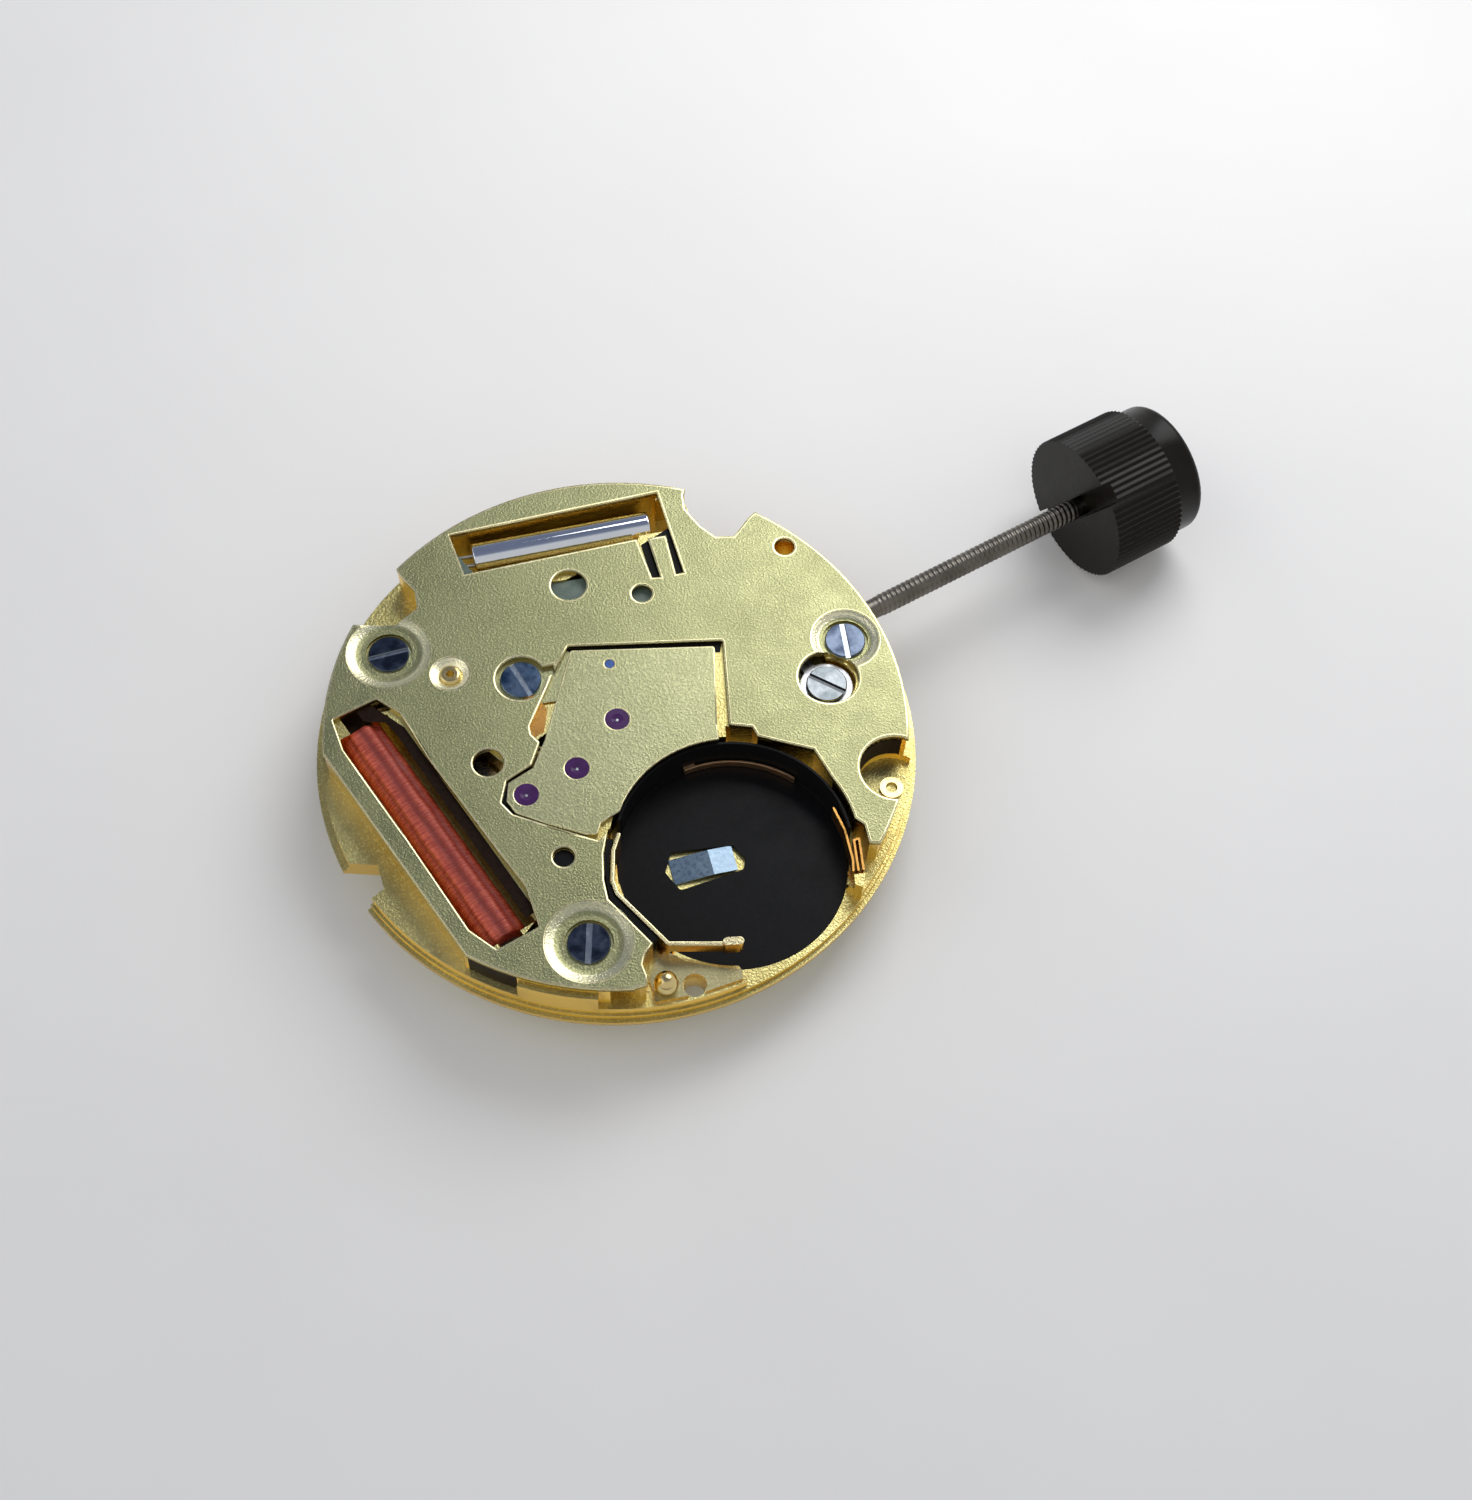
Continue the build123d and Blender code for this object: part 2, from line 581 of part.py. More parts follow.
# Main plate
with BuildPart() as main_plate:
    disc(origin, plate_radius, 0, flange_height)
    disc(origin, plate_radius - flange_step, flange_height, step_low)
    disc(origin, ledge_radius, step_low, ledge_top)
    with BuildSketch(Plane.XY.offset(ledge_top)):
        add(rim_shape(body_radius))
        add(outline(skirt_shares), mode=Mode.SUBTRACT)
        add(sector(origin, body_radius - opening_inset, ledge_radius, *opening_angles), mode=Mode.SUBTRACT)
    extrude(amount=body_top - ledge_top)
    with BuildSketch(Plane.XY.offset(ledge_top)):
        add(sector(origin, body_radius - opening_inset, ledge_radius, *block_angles))
    extrude(amount=block_top - ledge_top)
    with BuildSketch(Plane.XY.offset(step_low)):
        add(sector(origin, body_radius - overrun, plate_radius, *low_ledge_angles))
    extrude(amount=body_top, mode=Mode.SUBTRACT)
    with BuildSketch(Plane.XY.offset(step_low)):
        add(outline(rim_block_shares))
    extrude(amount=rim_block_top - step_low)
    # Train, rotor and stator
    with BuildSketch(Plane.XY.offset(train_floor)):
        add(train_space())
    extrude(amount=body_top, mode=Mode.SUBTRACT)
    with BuildSketch(Plane.XY.offset(stator_low - seat_fit)):
        add(bars(arm_up, stator_arm + 2 * pocket_fit))
        add(bars(arm_down, stator_arm + 2 * pocket_fit))
        add(bars(core_ends, stator_arm + 2 * pocket_fit))
        with Locations(rotor_place):
            Circle(stator_ring_radius + pocket_fit)
    extrude(amount=body_top, mode=Mode.SUBTRACT)
    disc(rotor_place, rotor_bore_radius, rotor_floor, body_top, Mode.SUBTRACT)
    # Coil, crystal and circuit
    with BuildSketch(Plane.XY.offset(coil_axis_height - coil_radius - pocket_fit / 2)):
        with Locations(coil_middle):
            Rectangle(coil_length + 4 * pocket_fit, 2 * coil_radius + 4 * pocket_fit, rotation=coil_angle)
    extrude(amount=body_top, mode=Mode.SUBTRACT)
    with BuildSketch(Plane.XY.offset(crystal_height - crystal_radius - pocket_fit)):
        add(outline(crystal_slot_shares[:2] + crystal_slot_shares[8:]))
        with Locations(crystal_middle):
            Rectangle(crystal_length + 2 * lead_length, 2 * crystal_radius + 2 * pocket_fit,
                      rotation=crystal_angle)
        with Locations(origin):
            Circle(plate_radius - body_inset - 2 * pocket_fit, mode=Mode.INTERSECT)
    extrude(amount=body_top, mode=Mode.SUBTRACT)
    with BuildSketch(Plane.XY.offset(body_top - board_thickness - pocket_fit)):
        add(outline(board_shares))
    extrude(amount=body_top, mode=Mode.SUBTRACT)
    with BuildSketch(Plane.XY.offset(body_top - board_thickness - pocket_fit - chip_height - seat_fit)):
        with Locations(chip_at):
            Rectangle(chip_side + 2 * pocket_fit, chip_side + 2 * pocket_fit)
    extrude(amount=body_top, mode=Mode.SUBTRACT)
    # Battery well with the channel of its contact strip
    disc(well_place, well_radius, well_floor, body_top, Mode.SUBTRACT)
    with BuildSketch(Plane.XY.offset(well_floor)):
        add(sector(well_place, well_radius / 2, liner_radius + seat_fit, liner_from - liner_play_angle,
                   liner_to + liner_play_angle))
    extrude(amount=body_top, mode=Mode.SUBTRACT)
    with BuildSketch(Plane.XY.offset(strip_low - seat_fit)):
        add(bars(strip_at[:6], strip_thickness + 3 * pocket_fit))
    extrude(amount=body_top, mode=Mode.SUBTRACT)
    # Winding work
    with BuildSketch(Plane.XY.offset(well_floor)):
        with Locations((pinion_from + pinion_length / 2, 0)):
            Rectangle(pinion_length + 2 * pocket_fit, 2 * pinion_radius + 2 * pocket_fit)
    extrude(amount=body_top, mode=Mode.SUBTRACT)
    with BuildSketch(Plane.XY.offset(stem_height - stem_radius - pocket_fit)):
        with Locations(((pinion_from + bearing_from) / 2, 0)):
            Rectangle(bearing_from - pinion_from, 2 * stem_radius + 2 * pocket_fit)
    extrude(amount=body_top, mode=Mode.SUBTRACT)
    with BuildSketch(Plane.XY.offset(lever_low - running_fit)):
        add(bars([lever_at, lever_pin_at], lever_width + 2 * pocket_fit))
        add(bars([lever_at, polar(lever_at, lever_arm, 90)], lever_width + 2 * pocket_fit))
        add(bars([lever_at, polar(lever_at, lever_arm, 90 - lever_swing / 2)],
                 lever_width + 2 * pocket_fit))
        add(bars(jumper_at, spring_width + 4 * pocket_fit))
        with Locations(lever_at):
            Circle(lever_hub_radius + pocket_fit)
        with Locations(jumper_at[0]):
            Circle(yoke_hub_radius + pocket_fit)
    extrude(amount=body_top, mode=Mode.SUBTRACT)
    with BuildSketch(Plane.XY.offset(yoke_low - running_fit)):
        for share in (0, 1 / 2, 1):
            add(bars([yoke_at, polar(yoke_at, yoke_arm, yoke_angle + share * yoke_swing)],
                     yoke_width + 2 * pocket_fit))
        with Locations(yoke_at):
            Circle(yoke_hub_radius + pocket_fit)
    extrude(amount=body_top, mode=Mode.SUBTRACT)
    disc(yoke_at, stud_radius, yoke_low - running_fit, yoke_low + yoke_thickness + running_fit)
    with BuildSketch(along_stem.offset(setting_place[0])):
        Circle(pilot_radius + running_fit)
    extrude(amount=pinion_from - setting_place[0], mode=Mode.SUBTRACT)
    with BuildSketch(along_stem.offset(bearing_from - pocket_fit)):
        Circle(stem_radius + running_fit)
    extrude(amount=plate_radius, mode=Mode.SUBTRACT)
    # Seat of the bridge ear, dishes of the cover screws and tapped holes
    with BuildSketch(Plane.XY.offset(body_top - ear_thickness)):
        add(bars([bridge_screw_at, ear_root], 2 * ear_radius + 2 * pocket_fit))
    extrude(amount=body_top, mode=Mode.SUBTRACT)
    for place, radius in zip(cover_screws_at, dish_radii):
        disc(place, radius + pocket_fit, body_top - dish_boss, cover_top, Mode.SUBTRACT)
        disc(place, shank_radius, body_top - dish_boss - shank_length, body_top, Mode.SUBTRACT)
    disc(bridge_screw_at, shank_radius, body_top - ear_thickness - shank_length, body_top, Mode.SUBTRACT)
    disc(lever_at, shank_radius, lever_low - shank_length, body_top, Mode.SUBTRACT)
    disc(eyelet_at, eyelet_radius, body_top - cover_thickness, body_top, Mode.SUBTRACT)
    # Openings right through the plate
    for share in dial_foot_shares:
        disc(on_plate(share), small_hole_radius, -overrun, cover_top, Mode.SUBTRACT)
    with BuildSketch(Plane.XY.offset(-overrun)):
        add(outline(notch_open_shares))
        add(outline(rim_notch_shares))
    extrude(amount=cover_top + overrun, mode=Mode.SUBTRACT)
    with BuildSketch(Plane.XY.offset(step_low)):
        with Locations(bush_at):
            Circle(bush_notch_radius)
    extrude(amount=body_top, mode=Mode.SUBTRACT)
    # Dial side: motion work recess, its bridge seat and the studs of the two loose wheels
    with BuildSketch(Plane.XY):
        for place, tip in ((origin, hour_tip), (minute_place, minute_tip), (setting_place, setting_tip)):
            with Locations(place):
                Circle(tip + pocket_fit)
    extrude(amount=dial_recess, mode=Mode.SUBTRACT)
    for place in (minute_place, setting_place):
        disc(place, stud_radius, motion_bridge_thickness + seat_fit, dial_recess)
    disc(origin, cannon_radius + running_fit, 0, body_top, Mode.SUBTRACT)
    for place, floor in zip((rotor_place, intermediate_place, third_place),
                            (rotor_floor, train_floor, train_floor)):
        disc(place, pivot_radius + running_fit, floor - 2 * pivot_length, body_top, Mode.SUBTRACT)
    with BuildSketch(Plane.XY):
        add(motion_seat(pocket_fit))
    extrude(amount=motion_bridge_thickness, mode=Mode.SUBTRACT)
    for place in motion_screws_at:
        disc(place, motion_shank_radius, 0, dial_recess, Mode.SUBTRACT)
main_plate.part.label = "main_plate"
export_step(main_plate.part, "parts/main_plate.step")

# Cover plate
with BuildPart() as cover_plate:
    with BuildSketch(Plane.XY.offset(body_top)):
        add(rim_shape(cover_radius))
        add(outline(centre_shares, corner_round), mode=Mode.SUBTRACT)
        add(outline(channel_shares), mode=Mode.SUBTRACT)
        add(outline(coil_slot_shares, corner_round), mode=Mode.SUBTRACT)
        add(outline(crystal_slot_shares), mode=Mode.SUBTRACT)
        with Locations(bridge_screw_at):
            Circle(bridge_window_radius, mode=Mode.SUBTRACT)
        with Locations(on_plate(window_shares)):
            Circle(round_hole_radius, mode=Mode.SUBTRACT)
        with Locations(on_plate(rotor_hole_shares)):
            Circle(rotor_hole_radius, mode=Mode.SUBTRACT)
        for share in (board_hole_shares, stator_hole_shares, dial_foot_shares[0]):
            with Locations(on_plate(share)):
                Circle(small_hole_radius, mode=Mode.SUBTRACT)
        with Locations(eyelet_at):
            Circle(eyelet_radius, mode=Mode.SUBTRACT)
    extrude(amount=cover_thickness)
    for place, radius, ring_radius in zip(cover_screws_at, dish_radii, dish_ring_radii):
        with BuildSketch(Plane.XY.offset(body_top - dish_boss)):
            with Locations(place):
                Circle(radius)
            add(rim_shape(body_radius), mode=Mode.INTERSECT)
        extrude(amount=dish_boss)
        add(dish(place, radius, ring_radius), mode=Mode.SUBTRACT)
        disc(place, head_radius + pocket_fit, cover_head_low, cover_top, Mode.SUBTRACT)
        disc(place, shank_radius + seat_fit, body_top - dish_boss, cover_top, Mode.SUBTRACT)
    disc(on_plate(lever_window_shares), lever_window_radius, body_top - dish_boss, cover_top,
         Mode.SUBTRACT)
    with Locations((*eyelet_at, cover_top - dish_depth)):
        Cone(eyelet_radius, eyelet_dish, dish_depth, align=(Align.CENTER, Align.CENTER, Align.MIN),
             mode=Mode.SUBTRACT)
cover_plate.part.label = "cover_plate"
export_step(cover_plate.part, "parts/cover_plate.step")

# Train bridge with its sunk ear, and the three jewels in it
with BuildPart() as train_bridge:
    with BuildSketch(Plane.XY.offset(body_top)):
        add(outline(bridge_shares, corner_round))
        with Locations(well_place):
            Circle(well_radius + bridge_well_gap, mode=Mode.SUBTRACT)
    extrude(amount=bridge_thickness)
    with BuildSketch(Plane.XY.offset(body_top - ear_thickness)):
        add(bars([bridge_screw_at, ear_root], 2 * ear_radius))
    extrude(amount=ear_thickness)
    disc(bridge_screw_at, shank_radius + seat_fit, body_top - ear_thickness, body_top, Mode.SUBTRACT)
    for place in (origin, intermediate_place, rotor_place):
        disc(place, jewel_radius, body_top - ear_thickness, cover_top, Mode.SUBTRACT)
    disc(third_place, third_end_radius + running_fit, body_top - ear_thickness, cover_top, Mode.SUBTRACT)
train_bridge.part.label = "train_bridge"
export_step(train_bridge.part, "parts/train_bridge.step")

with BuildPart() as bridge_jewels:
    for place in (origin, intermediate_place, rotor_place):
        disc(place, jewel_radius, body_top, body_top + bridge_thickness)
        with Locations((*place, body_top + bridge_thickness - jewel_cup)):
            Cone(pivot_radius, jewel_radius / 2, jewel_cup, align=(Align.CENTER, Align.CENTER, Align.MIN),
                 mode=Mode.SUBTRACT)
        disc(place, pivot_radius + running_fit, body_top, cover_top, Mode.SUBTRACT)
bridge_jewels.part.label = "bridge_jewels"
export_step(bridge_jewels.part, "parts/bridge_jewels.step")

# Motion work bridge on the dial side and its screws
with BuildPart() as motion_work_bridge:
    with BuildSketch():
        add(motion_seat(0))
        Circle(hour_foot_radius + running_fit, mode=Mode.SUBTRACT)
    extrude(amount=motion_bridge_thickness)
    for place in motion_screws_at:
        disc(place, motion_head_radius + seat_fit, 0, motion_head_height, Mode.SUBTRACT)
        disc(place, motion_shank_radius + seat_fit, 0, motion_bridge_thickness, Mode.SUBTRACT)
motion_work_bridge.part.label = "motion_work_bridge"
export_step(motion_work_bridge.part, "parts/motion_work_bridge.step")

with BuildPart() as motion_screws:
    for place in motion_screws_at:
        disc(place, motion_head_radius, 0, motion_head_height)
        disc(place, motion_shank_radius, motion_head_height, motion_head_height + motion_shank_length)
    with BuildSketch():
        with Locations(*motion_screws_at):
            Rectangle(3 * motion_head_radius, slot_width / 2)
    extrude(amount=motion_head_height / 2, mode=Mode.SUBTRACT)
motion_screws.part.label = "motion_screws"
export_step(motion_screws.part, "parts/motion_screws.step")

# Rotor
with BuildPart() as rotor_magnet:
    disc(rotor_place, magnet_radius, magnet_low, magnet_low + magnet_height)
    disc(rotor_place, arbor_radius, magnet_low, magnet_low + magnet_height, Mode.SUBTRACT)
rotor_magnet.part.label = "rotor_magnet"
export_step(rotor_magnet.part, "parts/rotor_magnet.step")

with BuildPart() as rotor_pinion:
    arbor(rotor_place, rotor_floor + running_fit, body_top - running_fit)
    add(gear(rotor_place, intermediate_low - pinion_overhang, pinion_height, pinion_teeth, rotor_module, 0,
             pivot_radius, True))
rotor_pinion.part.label = "rotor_pinion"
export_step(rotor_pinion.part, "parts/rotor_pinion.step")

# Intermediate wheel and pinion
with BuildPart() as intermediate_wheel:
    add(gear(intermediate_place, intermediate_low, wheel_thickness, intermediate_teeth, rotor_module,
             mesh_turn(rotor_angle - 180, pinion_teeth, intermediate_teeth), arbor_radius))
intermediate_wheel.part.label = "intermediate_wheel"
export_step(intermediate_wheel.part, "parts/intermediate_wheel.step")

with BuildPart() as intermediate_pinion:
    arbor(intermediate_place, train_floor + running_fit, body_top - running_fit)
    add(gear(intermediate_place, second_low - pinion_overhang, pinion_height, pinion_teeth, second_module,
             0, pivot_radius, True))
intermediate_pinion.part.label = "intermediate_pinion"
export_step(intermediate_pinion.part, "parts/intermediate_pinion.step")

# Second wheel, and its arbor that runs down to the seat of the second hand
with BuildPart() as second_wheel:
    add(gear(origin, second_low, wheel_thickness, second_teeth, second_module,
             mesh_turn(intermediate_angle - 180, pinion_teeth, second_teeth), arbor_radius))
second_wheel.part.label = "second_wheel"
export_step(second_wheel.part, "parts/second_wheel.step")

with BuildPart() as second_arbor:
    disc(origin, second_post_radius, second_post_end, minute_post_end)
    disc(origin, second_body_radius, minute_post_end, centre_low + wheel_thickness)
    disc(origin, arbor_radius, centre_low + wheel_thickness, body_top - running_fit)
    disc(origin, pivot_radius, body_top - running_fit, body_top - running_fit + pivot_length)
    add(gear(origin, third_low - pinion_overhang, pinion_height, pinion_teeth, third_module, 0,
             pivot_radius, True))
second_arbor.part.label = "second_arbor"
export_step(second_arbor.part, "parts/second_arbor.step")

# Third wheel and pinion
with BuildPart() as third_wheel:
    add(gear(third_place, third_low, wheel_thickness, third_teeth, third_module,
             mesh_turn(third_angle, pinion_teeth, third_teeth), arbor_radius))
third_wheel.part.label = "third_wheel"
export_step(third_wheel.part, "parts/third_wheel.step")

with BuildPart() as third_pinion:
    arbor(third_place, train_floor + running_fit, body_top - running_fit)
    disc(third_place, third_end_radius, body_top - running_fit, body_top + bridge_thickness - running_fit)
    add(gear(third_place, centre_low - pinion_overhang, pinion_height, pinion_teeth, centre_module, 0,
             pivot_radius, True))
third_pinion.part.label = "third_pinion"
export_step(third_pinion.part, "parts/third_pinion.step")

# Centre wheel on the cannon pinion, whose tube carries the minute hand
with BuildPart() as centre_wheel:
    add(gear(origin, centre_low, wheel_thickness, centre_teeth, centre_module,
             mesh_turn(third_angle + 180, pinion_teeth, centre_teeth), cannon_radius))
centre_wheel.part.label = "centre_wheel"
export_step(centre_wheel.part, "parts/centre_wheel.step")

with BuildPart() as cannon_pinion:
    disc(origin, minute_post_radius, minute_post_end, hour_post_end)
    disc(origin, cannon_body_radius, hour_post_end, hour_low + hour_thickness)
    add(gear(origin, hour_low + hour_thickness, wheel_thickness + 2 * motion_gap, cannon_teeth,
             motion_module, 0, cannon_bore, True))
    disc(origin, cannon_radius, hour_low + hour_thickness + wheel_thickness + 2 * motion_gap,
         centre_low + wheel_thickness)
    disc(origin, cannon_bore, minute_post_end, body_top, Mode.SUBTRACT)
cannon_pinion.part.label = "cannon_pinion"
export_step(cannon_pinion.part, "parts/cannon_pinion.step")

# Minute wheel, hour wheel and setting wheel on the dial side
minute_turn = mesh_turn(minute_angle, cannon_teeth, minute_teeth)
with BuildPart() as minute_wheel:
    add(gear(minute_place, minute_low, wheel_thickness, minute_teeth, motion_module, minute_turn,
             stud_radius + running_fit))
    add(gear(minute_place, motion_bridge_thickness + seat_fit,
             minute_low - motion_bridge_thickness - seat_fit, pinion_teeth, motion_module, 0,
             stud_radius + running_fit, True))
minute_wheel.part.label = "minute_wheel"
export_step(minute_wheel.part, "parts/minute_wheel.step")

with BuildPart() as hour_wheel:
    disc(origin, hour_post_radius, hour_post_end, -hour_foot_length)
    disc(origin, hour_foot_radius, -hour_foot_length, hour_low + hour_thickness)
    add(gear(origin, hour_low, hour_thickness, hour_teeth, motion_module,
             mesh_turn(minute_angle + 180, pinion_teeth, hour_teeth), hour_bore))
    disc(origin, hour_bore, hour_post_end, body_top, Mode.SUBTRACT)
hour_wheel.part.label = "hour_wheel"
export_step(hour_wheel.part, "parts/hour_wheel.step")

with BuildPart() as setting_wheel:
    disc(setting_place, setting_hub_radius, motion_bridge_thickness + seat_fit, minute_low)
    add(gear(setting_place, minute_low, wheel_thickness, setting_teeth, motion_module,
             mesh_turn(setting_angle, minute_teeth, setting_teeth, minute_turn), stud_radius + running_fit))
    disc(setting_place, stud_radius + running_fit, 0, dial_recess, Mode.SUBTRACT)
setting_wheel.part.label = "setting_wheel"
export_step(setting_wheel.part, "parts/setting_wheel.step")

# Coil: a wound bundle with lengthwise lobes on a flat core
coil_plane = Plane(origin=(*polar(coil_middle, -coil_length / 2, coil_angle), coil_axis_height),
                   x_dir=(sin(radians(coil_angle)), -cos(radians(coil_angle)), 0),
                   z_dir=(cos(radians(coil_angle)), sin(radians(coil_angle)), 0))
with BuildPart() as coil_winding:
    with BuildSketch(coil_plane):
        Circle(coil_radius - coil_lobe / 2)
        with PolarLocations(coil_radius - coil_lobe, coil_lobes):
            Circle(coil_lobe)
        Rectangle(core_width + 2 * seat_fit, core_thickness + 2 * seat_fit, mode=Mode.SUBTRACT)
    extrude(amount=coil_length)
coil_winding.part.label = "coil_winding"
export_step(coil_winding.part, "parts/coil_winding.step")

with BuildPart() as coil_core:
    with BuildSketch(Plane.XY.offset(core_low)):
        add(bars(core_ends, core_width))
        with Locations(*core_ends):
            Circle(stator_arm / 2 + pocket_fit)
    extrude(amount=core_thickness)
coil_core.part.label = "coil_core"
export_step(coil_core.part, "parts/coil_core.step")

# Stator plate round the rotor
with BuildPart() as stator:
    with BuildSketch(Plane.XY.offset(stator_low)):
        add(bars(arm_up, stator_arm))
        add(bars(arm_down, stator_arm))
        with Locations(rotor_place):
            Circle(stator_ring_radius)
            Circle(rotor_bore_radius, mode=Mode.SUBTRACT)
    extrude(amount=stator_thickness)
stator.part.label = "stator"
export_step(stator.part, "parts/stator.step")

# Crystal can and its leads up to the circuit board
with BuildPart() as quartz_crystal:
    with BuildSketch(crystal_plane.offset(-crystal_length / 2)):
        Circle(crystal_radius)
    extrude(amount=crystal_length)
    fillet(quartz_crystal.edges(), lead_radius)
quartz_crystal.part.label = "quartz_crystal"
export_step(quartz_crystal.part, "parts/quartz_crystal.step")

with BuildPart() as crystal_leads:
    with BuildSketch(crystal_plane.offset(-crystal_length / 2)):
        with Locations((-lead_spacing / 2, 0), (lead_spacing / 2, 0)):
            Circle(lead_radius)
    extrude(amount=-lead_length)
    lead_end = polar(crystal_middle, -crystal_length / 2 - lead_length + lead_radius, crystal_angle)
    for side in (-1, 1):
        disc(polar(lead_end, side * lead_spacing / 2, crystal_angle + 90), lead_radius, crystal_height,
             board_low)
crystal_leads.part.label = "crystal_leads"
export_step(crystal_leads.part, "parts/crystal_leads.step")

# Circuit board with its chip underneath
with BuildPart() as circuit_board:
    with BuildSketch(Plane.XY.offset(board_low)):
        add(outline(board_shares))
    extrude(amount=board_thickness)
circuit_board.part.label = "circuit_board"
export_step(circuit_board.part, "parts/circuit_board.step")

with BuildPart() as circuit_chip:
    with BuildSketch(Plane.XY.offset(board_low - chip_height)):
        with Locations(chip_at):
            Rectangle(chip_side, chip_side)
    extrude(amount=chip_height)
circuit_chip.part.label = "circuit_chip"
export_step(circuit_chip.part, "parts/circuit_chip.step")

# Plastic battery well: floor with a slot for the lower contact, and a wall towards the train
with BuildPart() as battery_well:
    with BuildSketch(Plane.XY.offset(well_floor)):
        with Locations(well_place):
            Circle(well_radius - seat_fit)
        add(sector(well_place, well_radius / 2, liner_radius, liner_from, liner_to))
        add(outline(blade_slot_shares, corner_round), mode=Mode.SUBTRACT)
    extrude(amount=liner_floor)
    with BuildSketch(Plane.XY.offset(well_floor)):
        add(sector(well_place, well_radius, liner_radius, liner_from, liner_to))
    extrude(amount=liner_height)
battery_well.part.label = "battery_well"
export_step(battery_well.part, "parts/battery_well.step")

# Contact strip on the side of the battery, with its flat tab
with BuildPart() as positive_contact:
    with BuildSketch(Plane.XY.offset(strip_low)):
        add(bars(strip_at[:6], strip_thickness))
    extrude(amount=strip_high - strip_low)
    with BuildSketch(Plane.XY.offset(strip_arm_low)):
        add(bars(strip_at[5:], strip_thickness))
    extrude(amount=strip_high - strip_arm_low)
    with BuildSketch(Plane.XY.offset(strip_arm_low)):
        add(bars(hook_at, hook_width))
    extrude(amount=strip_high + hook_rise - strip_arm_low)
    with BuildSketch(Plane.XY.offset(ledge_top)):
        add(outline(tab_shares))
        with Locations(stud_at):
            Circle(stud_neck_radius + pocket_fit / 2, mode=Mode.SUBTRACT)
        with Locations(on_plate(dial_foot_shares[1])):
            Circle(tab_hole_radius, mode=Mode.SUBTRACT)
    extrude(amount=strip_thickness)
positive_contact.part.label = "positive_contact"
export_step(positive_contact.part, "parts/positive_contact.step")

# Sprung blade under the battery, bent in two flats
blade_plane = Plane(origin=(*on_plate(blade_middle_shares), well_floor + seat_fit),
                    x_dir=(cos(radians(blade_angle)), sin(radians(blade_angle)), 0),
                    z_dir=(sin(radians(blade_angle)), -cos(radians(blade_angle)), 0))
with BuildPart() as negative_contact:
    with BuildSketch(blade_plane):
        Polygon((-blade_half, 0), (blade_half / 4, blade_rise), (blade_half, blade_rise / 2),
                (blade_half, blade_rise / 2 + blade_thickness),
                (blade_half / 4, blade_rise + blade_thickness), (-blade_half, blade_thickness), align=None)
    extrude(amount=blade_width / 2, both=True)
negative_contact.part.label = "negative_contact"
export_step(negative_contact.part, "parts/negative_contact.step")

# Side spring inside the well wall, held by a foot at one end
with BuildPart() as side_spring:
    with BuildSketch(Plane.XY.offset(strip_low)):
        add(sector(well_place, side_spring_radius, side_spring_radius + side_spring_thickness,
                   *side_spring_angles))
        add(sector(well_place, side_spring_radius, well_radius, side_spring_angles[1] - foot_angle,
                   side_spring_angles[1]))
    extrude(amount=side_spring_height)
side_spring.part.label = "side_spring"
export_step(side_spring.part, "parts/side_spring.step")

# Wall spring: a blade that reaches into the well, and a loop behind it on the same foot
with BuildPart() as wall_spring:
    with BuildSketch(Plane.XY.offset(ledge_top)):
        add(bars(wall_blade_at, side_spring_thickness))
        add(bars(wall_leg_at, side_spring_thickness))
    extrude(amount=wall_spring_height)
    with BuildSketch(Plane.XY.offset(ledge_top)):
        add(bars(wall_foot_at, wall_spring_foot))
    extrude(amount=side_spring_thickness)
wall_spring.part.label = "wall_spring"
export_step(wall_spring.part, "parts/wall_spring.step")

# Screws on the bridge side
with BuildPart() as cover_screws:
    for place, angle in zip(cover_screws_at, cover_slot_angles):
        add(screw(place, cover_head_low, angle, shank_length))
cover_screws.part.label = "cover_screws"
export_step(cover_screws.part, "parts/cover_screws.step")

with BuildPart() as bridge_screw:
    add(screw(bridge_screw_at, body_top, bridge_slot_angle, shank_length))
bridge_screw.part.label = "bridge_screw"
export_step(bridge_screw.part, "parts/bridge_screw.step")

with BuildPart() as setting_lever_screw:
    add(screw(lever_at, lever_head_low, lever_slot_angle, shank_length, lever_head_low - lever_floor))
setting_lever_screw.part.label = "setting_lever_screw"
export_step(setting_lever_screw.part, "parts/setting_lever_screw.step")

# Eyelet, locating stud and locating bush
with BuildPart() as brass_eyelet:
    disc(eyelet_at, eyelet_radius, body_top - cover_thickness, cover_top - seat_fit)
    fillet(brass_eyelet.faces().sort_by(Axis.Z)[-1].edges(), eyelet_bore)
    disc(eyelet_at, eyelet_bore, body_top - cover_thickness, cover_top, Mode.SUBTRACT)
brass_eyelet.part.label = "brass_eyelet"
export_step(brass_eyelet.part, "parts/brass_eyelet.step")

with BuildPart() as locating_stud:
    disc(stud_at, stud_neck_radius, ledge_top, ledge_top + stud_head_radius)
    with Locations((*stud_at, ledge_top + stud_head_radius)):
        Sphere(stud_head_radius)
locating_stud.part.label = "locating_stud"
export_step(locating_stud.part, "parts/locating_stud.step")

with BuildPart() as locating_bush:
    disc(bush_at, bush_radius, step_low, step_low + bush_height)
    disc(bush_at, bush_radius / 2, step_low, step_low + bush_height, Mode.SUBTRACT)
locating_bush.part.label = "locating_bush"
export_step(locating_bush.part, "parts/locating_bush.step")

